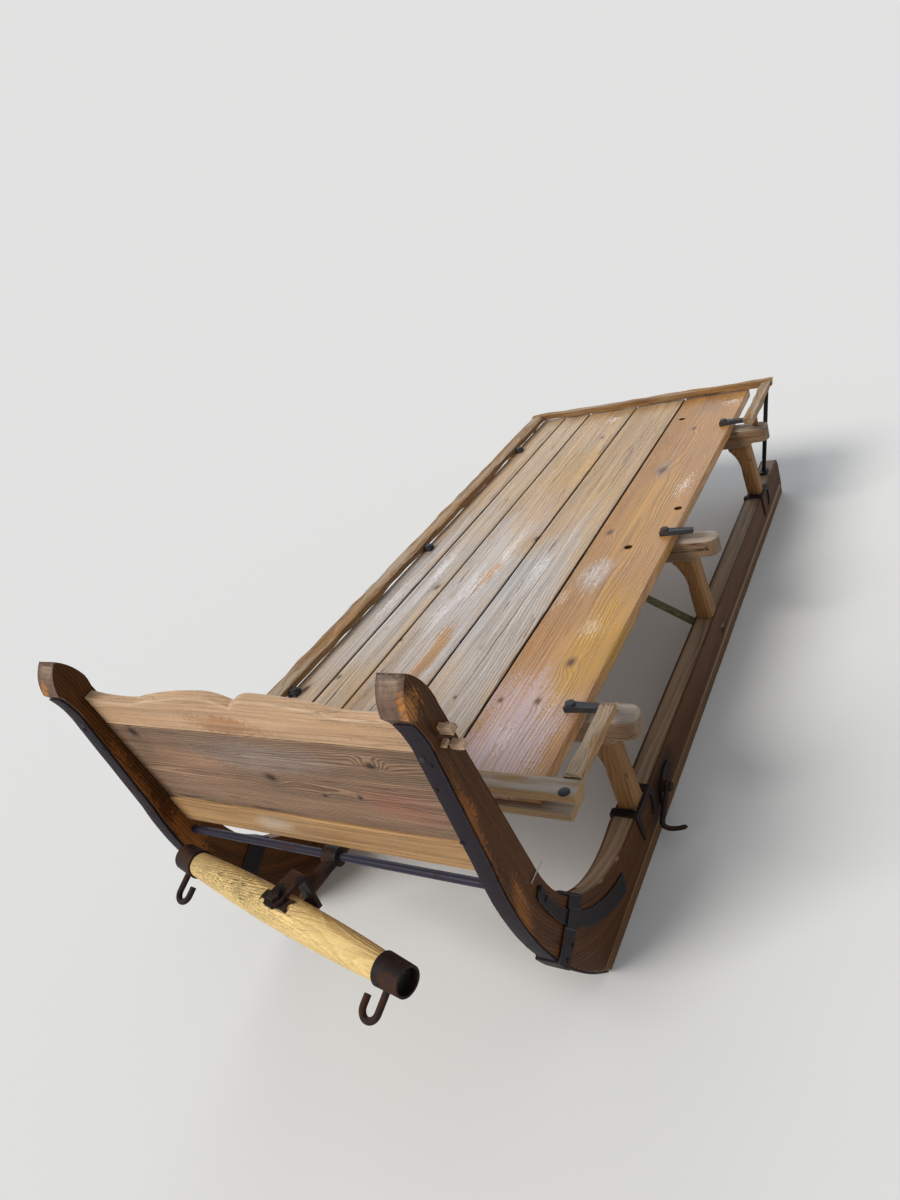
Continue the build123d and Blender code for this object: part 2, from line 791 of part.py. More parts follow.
# Link: an eye on the rod, a flat bar and two jaws that take the swingletree
yaw = radians(link_yaw)
link_plane = Plane(
    origin=(link_x, rod_y, rod_z), x_dir=(cos(yaw), sin(yaw), 0), z_dir=(0, 0, 1)
)
tree_y = -link_reach
web_y = tree_y + jaw_web_reach
jaw_inside = tree_mid_radius + jaw_clearance
with BuildPart() as link:
    with BuildSketch(link_plane):
        with Locations((0, web_y / 2)):
            Rectangle(link_bar_width, abs(web_y))
    extrude(amount=link_bar_height / 2, both=True)
    with BuildSketch(link_plane):
        with Locations((0, web_y)):
            Rectangle(jaw_width, jaw_thickness, align=(Align.CENTER, Align.MIN))
    extrude(amount=jaw_inside + jaw_thickness, both=True)
    for level in (jaw_inside, -jaw_inside - jaw_thickness):
        with BuildSketch(link_plane.offset(level)):
            with Locations((0, tree_y)):
                RegularPolygon(jaw_width / 2, 6, major_radius=False)
            with Locations((0, tree_y)):
                Rectangle(jaw_width, jaw_web_reach, align=(Align.CENTER, Align.MIN))
        extrude(amount=jaw_thickness)
    with Locations(Location((link_x + eye_shift, rod_y, rod_z), (0, 90, 0))):
        Cylinder(eye_radius, eye_width)
        Cylinder(rod_radius + pin_clearance, 3 * eye_width, mode=Mode.SUBTRACT)
    with Locations(link_plane.location * Location((0, tree_y, 0))):
        Cylinder(bolt_radius, 3 * jaw_inside, mode=Mode.SUBTRACT)
finish(link, "draught_link")

with BuildPart() as bolt:
    with Locations(link_plane.location * Location((0, tree_y, 0))):
        Cylinder(bolt_radius, 2 * (jaw_inside + jaw_thickness))
    for level in (jaw_inside + jaw_thickness, -jaw_inside - jaw_thickness - bolt_head_height):
        with BuildSketch(link_plane.offset(level)):
            with Locations((0, tree_y)):
                RegularPolygon(bolt_head_width / 2, 6, major_radius=False)
        extrude(amount=bolt_head_height)
finish(bolt, "link_bolt")

# Swingletree: one shaved ash bar, thick in the middle, with a planed seat above and below
tree_plane = Plane(
    origin=(link_plane.location * Location((0, tree_y, 0))).position,
    x_dir=(cos(yaw), sin(yaw), 0),
    z_dir=(0, 0, 1),
)
tree_axis = Axis(tree_plane.origin, tree_plane.x_dir)
tree_seat = tree_mid_radius - tree_flat
left_end = (tree_shift + tree_half, tree_end_radius)
right_end = (tree_shift - tree_half, tree_end_radius)
with BuildPart() as tree:
    with BuildSketch(tree_plane):
        with BuildLine():
            ThreePointArc(right_end, (tree_shift, tree_mid_radius), left_end)
            Polyline(left_end, (left_end[0], 0), (right_end[0], 0), right_end)
        make_face()
    revolve(axis=tree_axis)
    for level in (tree_seat, -tree_mid_radius - tree_flat):
        with BuildSketch(tree_plane.offset(level)):
            Rectangle(tree_plate_length, 2 * tree_mid_radius)
        extrude(amount=2 * tree_flat, mode=Mode.SUBTRACT)
    with Locations(tree_plane.location):
        Cylinder(bolt_radius + pin_clearance, 3 * tree_mid_radius, mode=Mode.SUBTRACT)
finish(tree, "swingletree")

# Fish-tailed wear plate on the upper seat, under the link's jaw
with BuildPart() as plate:
    with BuildSketch(tree_plane.offset(tree_seat)):
        with BuildLine():
            tail = tree_plate_length / 2
            Polyline(
                (-tail, -tree_plate_waist / 2),
                (tail, -tree_plate_tail / 2),
                (tail - tree_plate_notch, 0),
                (tail, tree_plate_tail / 2),
                (-tail, tree_plate_waist / 2),
                close=True,
            )
        make_face()
        Circle(bolt_radius + pin_clearance, mode=Mode.SUBTRACT)
    extrude(amount=tree_flat)
finish(plate, "tree_plate")

# Open iron caps on the swingletree's ends, each forged with a trace hook that opens inwards
drop = radians(hook_drop)
hook_plane = Plane(
    origin=tree_plane.origin,
    x_dir=tree_plane.x_dir,
    z_dir=tree_plane.z_dir * cos(drop) - tree_plane.y_dir * sin(drop),
)
for side_name, side in SIDES:
    end_x = tree_shift + side * tree_half
    cap_radius = tree_mid_radius - (tree_mid_radius - tree_end_radius) * (
        (tree_half - ferrule_length) / tree_half
    ) ** 2
    root_x = end_x - side * hook_set_in
    tip_x = root_x - side * 2 * hook_bend_radius
    root_y = -cap_radius
    bend_y = root_y - hook_reach + hook_bend_radius
    with BuildLine(hook_plane) as hook_path:
        Line((root_x, root_y), (root_x, bend_y))
        ThreePointArc(
            (root_x, bend_y),
            (root_x - side * hook_bend_radius, bend_y - hook_bend_radius),
            (tip_x, bend_y),
        )
        Line((tip_x, bend_y), (tip_x, root_y - ferrule_wall - hook_tip_gap))
    with BuildPart() as cap:
        with BuildSketch(tree_plane):
            with BuildLine():
                Polyline(
                    (end_x, 0),
                    (end_x, tree_end_radius),
                    (end_x + side * ferrule_lip, tree_end_radius),
                    (end_x + side * ferrule_lip, tree_end_radius + ferrule_wall),
                    (end_x - side * ferrule_length, cap_radius + ferrule_wall),
                    (end_x - side * ferrule_length, 0),
                    close=True,
                )
            make_face()
        revolve(axis=tree_axis)
        with BuildSketch(Plane(hook_path.line @ 0, z_dir=hook_path.line % 0)):
            Circle(hook_bar_radius)
        sweep(path=hook_path.line)
        add(tree.part, mode=Mode.SUBTRACT)
    finish(cap, f"end_hook_{side_name}")

# Drag claws: a stud on a leaf-shaped plate, and a bar with its foot turned outwards
leaf_rear, leaf_front = (
    (claw_y + behind, claw_z + above) for behind, above in LEAF_TIPS
)
for side_name, side in SIDES:
    bar_in = outer_x + claw_gap
    with BuildPart() as stud:
        with BuildSketch(Plane.YZ.offset(side * outer_x)):
            with BuildLine():
                ThreePointArc(leaf_rear, bulged(leaf_rear, leaf_front, leaf_bulge), leaf_front)
                ThreePointArc(leaf_front, bulged(leaf_front, leaf_rear, leaf_bulge), leaf_rear)
            make_face()
        extrude(amount=plate_thickness, dir=(side, 0, 0))
        # columns: radius, from the runner's face, thickness
        for radius, start, thickness in (
            (claw_pin_radius, 0, claw_gap + claw_bar + pin_clearance),
            (claw_eye_radius, 0, claw_gap - pin_clearance),
            (claw_eye_radius - 3, claw_gap + claw_bar + pin_clearance, claw_washer),
        ):
            with BuildSketch(Plane.YZ.offset(side * (outer_x + start))):
                with Locations((claw_y, claw_z)):
                    Circle(radius)
            extrude(amount=thickness, dir=(side, 0, 0))
    finish(stud, f"claw_stud_{side_name}")

    tilt = radians(claw_lean)
    foot_y = claw_y - claw_length * sin(tilt)
    foot_z = claw_z - claw_length * cos(tilt)
    with BuildPart() as claw:
        with BuildSketch(Plane.YZ.offset(side * bar_in)):
            with Locations((claw_y, claw_z)):
                Circle(claw_eye_radius)
            with Locations(between((claw_y, claw_z), (foot_y, foot_z), 0.5)):
                Rectangle(claw_bar_width, claw_length, rotation=-claw_lean)
            with Locations((claw_y, claw_z)):
                Circle(claw_pin_radius + pin_clearance, mode=Mode.SUBTRACT)
        extrude(amount=claw_bar, dir=(side, 0, 0))
        heel_of_foot = between((foot_y, foot_z), (claw_y, claw_z), claw_bar / claw_length)
        with BuildSketch(Plane.YZ.offset(side * (bar_in + claw_bar))):
            with Locations(heel_of_foot):
                Rectangle(claw_bar_width, 2 * claw_bar, rotation=-claw_lean)
        with BuildSketch(Plane.YZ.offset(side * (bar_in + claw_foot))):
            with Locations((foot_y, foot_z - claw_foot_drop)):
                Rectangle(claw_bar_width / 2, claw_bar / 2, rotation=-claw_lean)
        loft()
    finish(claw, f"claw_{side_name}")

# Struts from the runners' inner faces up to the middle beam
for side_name, side in SIDES:
    strut_y = middle_beam_y + strut_behind
    strut_foot = Vector(side * inner_x, strut_y, strut_foot_z)
    strut_head = Vector(side * strut_top_x, strut_y, beam_bottom)
    run = strut_head - strut_foot
    overrun = 2 * strut_radius
    with BuildPart() as strut:
        with BuildSketch(Plane(origin=strut_foot - run.normalized() * overrun, z_dir=run)):
            Circle(strut_radius)
        extrude(amount=run.length + 2 * overrun)
        split(bisect_by=Plane.YZ.offset(side * inner_x), keep=Keep.BOTTOM if side > 0 else Keep.TOP)
        split(bisect_by=Plane.XY.offset(beam_bottom), keep=Keep.BOTTOM)
    finish(strut, f"strut_{side_name}")

# Stays from the rear corners of the rails down to the runners
for side_name, side in SIDES:
    rail_mid = left_rail_x + rail_width / 2 if side > 0 else right_rail_x - rail_width / 2
    stay_foot = Vector(side * runner_mid, stay_foot_y, runner_height)
    stay_head = Vector(rail_mid, stay_top_y, deck_top)
    run = stay_head - stay_foot
    with BuildPart() as stay:
        with BuildSketch(Plane(origin=stay_foot, z_dir=run)):
            Circle(stay_radius)
        extrude(amount=run.length + 2 * stay_radius)
        split(bisect_by=Plane.XY.offset(deck_top), keep=Keep.BOTTOM)
        split(bisect_by=Plane.XY.offset(runner_height), keep=Keep.TOP)
        with Locations(stay_foot):
            Box(*stay_pad, align=(Align.CENTER, Align.CENTER, Align.MIN))
    finish(stay, f"rear_stay_{side_name}")
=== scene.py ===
# %% [markdown]
# # A farm sled that has stood out in the rain
#
# The sled is all timber and forged iron. The CAD model gives every piece its place and size, and
# here each piece gets what a maker's hands and the weather did to it: worn arrises, wavy planed
# faces, grain that follows the bend of the horns, rust, cracks and wet patches.
#
# Two ways are open. The CAD meshes could be kept and only painted, or each could be copied, cut
# finer and softened. Painted sharp edges catch no light, so this script softens copies.

import json
from math import atan2, cos, pi, radians, sin
from zlib import crc32

import bmesh
import bpy
from mathutils import Matrix, Vector, noise
from mathutils.bvhtree import BVHTree


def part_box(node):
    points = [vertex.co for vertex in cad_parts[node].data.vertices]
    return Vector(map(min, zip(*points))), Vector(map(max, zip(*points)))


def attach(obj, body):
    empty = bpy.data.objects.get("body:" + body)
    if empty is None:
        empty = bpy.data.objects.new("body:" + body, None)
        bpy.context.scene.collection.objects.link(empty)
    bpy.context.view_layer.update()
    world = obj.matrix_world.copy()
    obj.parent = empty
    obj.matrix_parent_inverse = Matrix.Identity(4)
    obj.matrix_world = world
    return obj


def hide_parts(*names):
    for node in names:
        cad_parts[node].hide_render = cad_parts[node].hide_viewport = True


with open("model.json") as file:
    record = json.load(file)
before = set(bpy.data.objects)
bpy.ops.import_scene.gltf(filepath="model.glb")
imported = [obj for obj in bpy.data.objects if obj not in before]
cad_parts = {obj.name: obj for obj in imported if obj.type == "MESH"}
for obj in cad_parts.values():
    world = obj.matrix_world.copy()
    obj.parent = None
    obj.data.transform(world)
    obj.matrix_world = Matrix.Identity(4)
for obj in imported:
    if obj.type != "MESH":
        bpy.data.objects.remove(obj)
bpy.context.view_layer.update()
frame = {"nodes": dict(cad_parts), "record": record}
parts = frame["nodes"]
record = frame["record"]
bodies = record["behaviour"]["bodies"]
body_of = {node: body for body, nodes in bodies.items() for node in nodes}
slot_of = {row["node"]: row["material_slot"] for row in record["subparts"]}

# %% [markdown]
# ## Where the photographer stood
#
# The view is from the sled's front left, at standing height, with the camera rolled clockwise by
# about twenty degrees. A camera could be aimed with a constraint, but a roll is easier to state as
# three directions, which make the columns of the camera's matrix.

# %% Camera
eye = Vector((1.0104, -1.6669, 1.3853))
ahead = Vector((-0.5432, 0.7106, -0.4473)).normalized()
up = Vector((0.0221, 0.5446, 0.8384)).normalized()
right = ahead.cross(up).normalized()
up = right.cross(ahead)

camera = bpy.data.objects.new("camera", bpy.data.cameras.new("camera"))
camera.data.sensor_fit = "VERTICAL"
camera.data.sensor_height = 36.0
camera.data.lens = 24.89
camera.matrix_world = Matrix.Translation(eye) @ Matrix((right, up, -ahead)).transposed().to_4x4()
bpy.context.scene.collection.objects.link(camera)
bpy.context.scene.camera = camera
print("camera looks along", ahead)

# %% [markdown]
# ## Shader maths written as Python
#
# A wood finish is mostly arithmetic on a position: how far from the tree's heart, how far along the
# grain. Adding each Math node by hand hides that arithmetic, so a small class wraps a socket and
# gives it Python's operators. The recipe can then be read as a formula.

# %% A wire


def maths(operation, swapped=False):
    """A method that adds a Math node, with its own wire first or, swapped, last."""

    def method(self, *others):
        values = (*others, self) if swapped else (self, *others)
        inputs = dict(enumerate(values))
        return self.sheet.node("ShaderNodeMath", {"operation": operation}, inputs)

    return method


class Wire:
    """A socket that can be added, subtracted, multiplied, divided and compared."""

    def __init__(self, sheet, socket):
        self.sheet, self.socket = sheet, socket

    __add__, __radd__ = maths("ADD"), maths("ADD", swapped=True)
    __sub__, __rsub__ = maths("SUBTRACT"), maths("SUBTRACT", swapped=True)
    __mul__, __rmul__ = maths("MULTIPLY"), maths("MULTIPLY", swapped=True)
    __truediv__, __pow__, __abs__ = maths("DIVIDE"), maths("POWER"), maths("ABSOLUTE")
    fraction, at_most, at_least = maths("FRACT"), maths("MINIMUM"), maths("MAXIMUM")

    def between(self, low, high):
        """0 below low, 1 above high, with a soft step between them."""
        settings = {"interpolation_type": "SMOOTHSTEP"}
        return self.sheet.node("ShaderNodeMapRange", settings, {0: self, 1: low, 2: high})


print("wires can be added, subtracted, multiplied, divided and compared")

# %% [markdown]
# ## A sheet for each material
#
# A sheet holds one material's node tree. One method adds any node with its settings and inputs, and
# the others are what every finish here asks for: the grain, a noise, the way to a mark, a mix.

# %% A sheet


class Sheet:
    """One material's node tree, or another tree that is given."""

    def __init__(self, name, tree=None):
        if tree:
            self.tree = tree
            return
        self.material = bpy.data.materials.new(name)
        self.material.use_nodes = True
        self.tree = self.material.node_tree
        self.shader = self.tree.nodes["Principled BSDF"]

    def node(self, kind, settings=None, inputs=None, out=0):
        made = self.tree.nodes.new(kind)
        for key, value in (settings or {}).items():
            setattr(made, key, value)
        for key, value in (inputs or {}).items():
            if isinstance(value, Wire):
                self.tree.links.new(value.socket, made.inputs[key])
            else:
                made.inputs[key].default_value = value
        return Wire(self, made.outputs[out])

    def position(self):
        return self.node("ShaderNodeTexCoord", out="Object")

    def mark(self, name):
        return self.node("ShaderNodeAttribute", {"attribute_name": name}, out="Fac")

    def grain(self, along=1.0, across=1.0, depth=1.0):
        """The piece's own position along the grain, across it and into it, stretched."""
        attribute = self.node("ShaderNodeAttribute", {"attribute_name": "grain"}, out="Vector")
        return self.vector("MULTIPLY", attribute, (along, across, depth))

    def vector(self, operation, first, second):
        return self.node("ShaderNodeVectorMath", {"operation": operation}, {0: first, 1: second})

    def axes(self, vector):
        parted = self.tree.nodes.new("ShaderNodeSeparateXYZ")
        self.tree.links.new(vector.socket, parted.inputs[0])
        return [Wire(self, socket) for socket in parted.outputs]

    def cloud(self, vector, scale=1.0, detail=3.0, rough=0.5, out=0):
        inputs = {"Vector": vector, "Scale": scale, "Detail": detail, "Roughness": rough}
        return self.node("ShaderNodeTexNoise", None, inputs, out)

    def away(self, centre, reach, wobble=0.0):
        """How far a point is from a place on the sled: 0 there, 1 at the reach."""
        place = self.position()
        if wobble:
            drift = self.cloud(place, scale=9.0, detail=3.0, out="Color")
            drift = self.vector("SUBTRACT", drift, (0.5, 0.5, 0.5))
            place = self.vector("ADD", place, self.vector("MULTIPLY", drift, (wobble,) * 3))
        step = self.vector("DIVIDE", self.vector("SUBTRACT", place, centre), reach)
        return self.node("ShaderNodeVectorMath", {"operation": "LENGTH"}, {0: step}, out="Value")

    def colour(self, value):
        return (*value, 1.0)

    def blend(self, factor, first, second):
        first, second = (c if isinstance(c, Wire) else self.colour(c) for c in (first, second))
        inputs = {0: factor, 6: first, 7: second}
        return self.node("ShaderNodeMix", {"data_type": "RGBA"}, inputs, out=2)

    def shade(self, factor, colour):
        """The colour made darker or lighter by a factor near 1."""
        grey = self.node("ShaderNodeCombineColor", None, {0: factor, 1: factor, 2: factor})
        settings = {"data_type": "RGBA", "blend_type": "MULTIPLY"}
        return self.node("ShaderNodeMix", settings, {0: 1.0, 6: colour, 7: grey}, out=2)

    def finish(self, colour, rough, height=None, depth=0.001, strength=1.0, metal=None, coat=None):
        links = {"Base Color": colour, "Roughness": rough, "Metallic": metal, "Coat Weight": coat}
        if height is not None:
            inputs = {"Strength": strength, "Distance": depth, "Height": height}
            links["Normal"] = self.node("ShaderNodeBump", None, inputs)
        for name, value in links.items():
            if isinstance(value, Wire):
                self.tree.links.new(value.socket, self.shader.inputs[name])
            elif value is not None:
                self.shader.inputs[name].default_value = value
        return self.material


print("a sheet makes", [name for name in vars(Sheet) if name[0] != "_"])

# %% [markdown]
# ## Floor and light
#
# The sled stands on a plain pale floor under an overcast sky. Area lamps would leave a bright patch
# on the floor round the sled, so two broad suns are used: one in front to the left, and a weak one
# low behind, which the wet planks mirror towards the camera. What the camera sees of the sky has
# the floor's own lit shade, so that no horizon shows.

# %% Studio
floor_colour = (0.8, 0.8, 0.79)
floor_sheet = Sheet("floor")
floor_sheet.finish(floor_sheet.colour(floor_colour), 0.9)
floor_sheet.shader.inputs["Specular IOR Level"].default_value = 0.0
floor_shape = bmesh.new()
bmesh.ops.create_grid(floor_shape, x_segments=1, y_segments=1, size=60.0)
floor_mesh = bpy.data.meshes.new("floor")
floor_shape.to_mesh(floor_mesh)
floor = bpy.data.objects.new("floor", floor_mesh)
floor.data.materials.append(floor_sheet.material)
bpy.context.scene.collection.objects.link(floor)

sky_light = (0.385, 0.4, 0.42)
floor_light = list(sky_light)


def broad_sun(name, towards, angle, strength, colour):
    """A sun that is seen in that direction, and what it adds to the floor's light."""
    towards = Vector(towards).normalized()
    lamp = bpy.data.objects.new(name, bpy.data.lights.new(name, "SUN"))
    lamp.data.angle = radians(angle)
    lamp.data.energy = strength
    lamp.data.color = colour
    lamp.matrix_world = towards.to_track_quat("Z", "Y").to_matrix().to_4x4()
    bpy.context.scene.collection.objects.link(lamp)
    for i in range(3):
        floor_light[i] += strength * colour[i] * towards.z / pi


broad_sun("front_sun", (-2.2, -4.2, 4.2), 24, 2.35, (1.0, 0.97, 0.92))
broad_sun("back_sun", (-0.47, 0.8, 0.42), 34, 0.55, (0.86, 0.93, 1.0))

sky = bpy.data.worlds.new("sky")
sky.use_nodes = True
sky_sheet = Sheet("sky", sky.node_tree)
seen, mirrored, through = (
    sky_sheet.node("ShaderNodeLightPath", out=f"Is {ray} Ray")
    for ray in ("Camera", "Glossy", "Transmission")
)
backdrop = [c * light for c, light in zip(floor_colour, floor_light)]
sky_colour = sky_sheet.blend(seen.at_least(mirrored).at_least(through), sky_light, backdrop)
sky.node_tree.links.new(sky_colour.socket, sky.node_tree.nodes["Background"].inputs["Color"])
bpy.context.scene.world = sky
bpy.context.scene.view_settings.view_transform = "Standard"
print("light on the floor", floor_light, "backdrop", backdrop)

# %% [markdown]
# ## Wood and its rings
#
# Sawn wood shows slices through a tree: rings round its heart, drawn out along the grain. A wave
# texture gives stripes that all look alike. Here the recipe measures the distance from a heart line
# that wanders, and cuts it into rings, so that a flat face shows the long arches of a sawn board
# and an end shows the rings themselves. A knot pushes the rings aside. Over them lie noises drawn
# out along the grain, from single fibres to broad patches, and a mottle that has no direction.

# %% Rings and fibres


class WoodSheet(Sheet):
    """A sheet with the rings, the knots and the fibres of one timber."""

    def __init__(self, name, ring, heart, wander, knots):
        super().__init__(name)
        _, across, depth = self.axes(self.grain())
        bow = self.cloud(self.grain(0.9, 4.0, 4.0), detail=2.0) - 0.5
        ripple = self.cloud(self.grain(5.0, 24.0, 24.0), detail=3.0) - 0.5
        off_centre = across + bow * wander * 2 + ripple * wander * 0.12
        self.knot_middle, self.knot_rim = 0.0, 0.0
        for centre, reach in knots:
            far = self.away(centre, reach, 0.012)
            off_centre = off_centre + (1 - far.between(0.0, 4.0)) * min(reach) * 1.6
            self.knot_middle = self.knot_middle + (1 - far.between(0.5, 0.9))
            self.knot_rim = self.knot_rim + (1 - far.between(0.9, 1.7)) * 0.5
        below = depth + heart + bow * wander * 0.7
        radius = (off_centre**2 + below**2) ** 0.5
        phase = (radius / ring + ripple * 0.9).fraction()
        self.rings = phase.between(0.15, 0.86) * (1 - phase.between(0.9, 1.0))
        self.fibres = self.cloud(self.grain(9.0, 250.0, 250.0), detail=3.5, rough=0.75)
        self.streaks = self.cloud(self.grain(1.6, 46.0, 46.0), detail=4.0, rough=0.6)
        self.patches = self.cloud(self.grain(3.0, 9.0, 9.0), detail=5.0, rough=0.6)
        self.mottle = self.cloud(self.position(), scale=170.0, detail=5.0, rough=0.75)


print("wood sheets ready")

# %% [markdown]
# ## What weather and use do to wood, and painted light
#
# Stains soak in along the fibres, and patches of painted light and shade are laid the same way.
# Open faces turn grey, arrises are rubbed and tops are made paler as painted light. One large
# formula could do it all, but as short helpers, each laying one change over the colour so far,
# every change can be tried alone.

# %% Stains, weathering and painted light


def darker(colour, share):
    return tuple(c * share for c in colour)


def lay_stains_and_light(sheet, colour, stains_and_light):
    """Lays stains and painted light and shade with ragged edges, least into the hard rings."""
    for tint, strength, centre, reach in stains_and_light:
        far = sheet.away(centre, reach, 0.06) + (sheet.patches - 0.5) * 1.7
        far = far + (sheet.fibres - 0.5) + (sheet.mottle - 0.5) * 2.4
        taken_up = 0.85 + (sheet.fibres - 0.5) * 0.9 - sheet.rings * 0.4
        laid_tint = (1 - far.between(0.4, 0.95)) * taken_up * strength
        colour = sheet.blend(laid_tint.at_most(1.0).at_least(0.0), colour, tint)
    return colour


def weather(sheet, colour, grey, share):
    """Greys the wood in clouds along the grain, most where it lies open to the sky."""
    clouds = sheet.cloud(sheet.grain(2.6, 19.0, 19.0), detail=6.0, rough=0.66)
    weathered = clouds.between(0.74 - share * 0.5, 0.9 - share * 0.5)
    lies_open = 0.1 + sheet.mark("up") * 0.9
    return sheet.blend(weathered * (0.35 + sheet.fibres * 0.6) * lies_open, colour, grey)


def paint_top_light(sheet, colour, tint):
    """Pales the faces that look up, which is painted light on the tops."""
    taken = 0.85 + (sheet.streaks - 0.5) * 1.2 - sheet.rings * 0.3
    top_light = sheet.mark("up").between(0.35, 0.8) * taken
    return sheet.blend(top_light.at_least(0.0).at_most(1.0), colour, tint)


def rub(sheet, colour, tint, share):
    """Brightens the arrises here and there, where loads and ropes wear them."""
    here = (sheet.fibres * 0.5 + sheet.patches + sheet.streaks * 0.5).between(0.7, 1.15)
    return sheet.blend(sheet.mark("arris") * here * share, colour, tint)


def fleck(sheet, colour, tint, amount, centre, reach):
    """Strews short dark flecks round a place, most on the top."""
    flecks = sheet.cloud(sheet.grain(30.0, 620.0, 620.0), detail=2.0, rough=0.6).between(0.53, 0.6)
    dirty = sheet.patches.between(0.36, 0.55) * (0.2 + sheet.mark("up") * 0.8)
    dirty = dirty * (1.15 - sheet.away(centre, reach).between(0.5, 1.1))
    return sheet.blend(flecks * dirty * amount, colour, tint)


print("weathering ready")

# %% [markdown]
# ## Cracks and standing water
#
# A drying crack is the thin line where a noise drawn out along the grain crosses its middle value,
# and a second noise gathers the cracks in groups. They could be cut into the mesh, but a dark line
# with a dip in the bump reads the same. Water adds no colour: it makes its place smooth and glossy.

# %% Cracks and water


def crack(sheet, scale, share, splits):
    """Where the wood has opened: fine cracks by chance, and long splits at their places."""
    line = abs(sheet.cloud(sheet.grain(1.3, scale, scale), detail=2.5) - 0.5)
    where = sheet.cloud(sheet.grain(1.1, 17.0, 17.0), scale=1.7, detail=2.0)
    split = (1 - line.between(0.0, 0.012)) * where.between(0.52, 0.6) * share
    for centre, reach in splits:
        split = split + (1 - sheet.away(centre, reach, 0.01).between(0.6, 1.0))
    return split.at_most(1.0) * (1 - sheet.mark("end"))


def lay_water(sheet, wet, puddles):
    """Where water stands: drops by chance, and puddles at their places."""
    water = sheet.cloud(sheet.grain(60.0, 190.0, 190.0), detail=5.0, rough=0.7)
    puddle = water.between(0.62 - wet * 0.05, 0.66 - wet * 0.05) * 0.5
    for centre, reach in puddles:
        far = sheet.away(centre, reach, 0.03) + (water - 0.5) * 7.0
        puddle = puddle.at_least(1 - far.between(0.42, 0.52))
    return puddle


print("cracks and water ready")

# %% [markdown]
# ## The wood recipe
#
# The helpers come together in the order in which a timber meets them: it grows, is sawn, stained,
# weathered, rubbed and cracked. Every wood finish below is this recipe with other numbers.

# %% Wood recipe
finishes = {}


def wood(
    name, early, late, ring=0.0085, heart=0.05, wander=0.05, contrast=0.85, fibre=0.3, streak=0.4,
    speckle=0.5, flecks=None, cracks=0.5, crack_scale=42.0, worn=None, worn_share=0.5, grey=None,
    grey_share=0.0, end_tint=None, top_light_tint=None, wet=0.0, rough=0.6, relief=1.0, shine=0.25,
    knots=(), stains_and_light=(), splits=(), holes=(), puddles=(),
):
    """Makes a finish of sawn wood. early and late are the two colours of a ring."""
    sheet = WoodSheet(name, ring, heart, wander, knots)
    sheet.shader.inputs["Specular IOR Level"].default_value = shine
    rings, fibres, streaks = sheet.rings, sheet.fibres, sheet.streaks

    colour = sheet.blend(rings * contrast, early, late)
    if end_tint:
        end = (sheet.mark("end") * (0.75 + streaks * 0.5)).at_most(1.0)
        colour = sheet.blend(end, colour, end_tint)
    # stains, and patches of painted light and shade, laid over the rings
    colour = lay_stains_and_light(sheet, colour, stains_and_light)
    tone = 1 + (fibres - 0.5) * fibre * 2 + (streaks - 0.5) * streak * 2
    tone = tone + (sheet.patches - 0.5) * 0.5 + (sheet.mottle - 0.5) * speckle
    colour = sheet.shade(tone, colour)
    if grey:
        colour = weather(sheet, colour, grey, grey_share)
    # painted light: the faces that look up are made paler
    if top_light_tint:
        colour = paint_top_light(sheet, colour, top_light_tint)
    if worn:
        colour = rub(sheet, colour, worn, worn_share)
    if flecks:
        colour = fleck(sheet, colour, darker(late, 0.15), *flecks)
    if knots:
        colour = sheet.blend(sheet.knot_rim.at_most(0.8), colour, darker(late, 0.75))
        colour = sheet.blend(sheet.knot_middle.at_most(1.0) * 0.85, colour, darker(late, 0.25))
    split = crack(sheet, crack_scale, cracks, splits)
    colour = sheet.blend(split * 0.88, colour, darker(late, 0.14))
    # painted shade: inside each knot hole the wood is made nearly black
    for centre, reach in holes:
        inside = 1 - sheet.away(centre, reach).between(0.85, 1.0)
        colour = sheet.blend(inside * 0.9, colour, darker(late, 0.1))
    # painted shade on the plank sides that look into a gap
    colour = sheet.blend(sheet.mark("gap") * 0.9, colour, darker(late, 0.12))

    dull, coat = rough + (streaks - 0.5) * 0.16 - rings * 0.06, None
    if wet:
        puddle = lay_water(sheet, wet, puddles)
        dull, coat = dull - puddle * (rough - 0.2), puddle * 0.5
    height = rings * 0.6 + fibres * 0.9 + streaks * 0.5 + sheet.mottle * speckle * 0.6 - split * 2.4
    finishes[name] = sheet.finish(colour, dull, height, 0.0013 * relief, 0.85, coat=coat)


print("wood recipe ready")

# %% [markdown]
# ## Iron
#
# The straps and the band are forged: dark scale, with brown rust where it has flaked and dull grey
# where it rubs. One noise chooses between scale and rust, a finer one pits the surface, and the
# arrises are rubbed a little brighter.

# %% Iron recipe


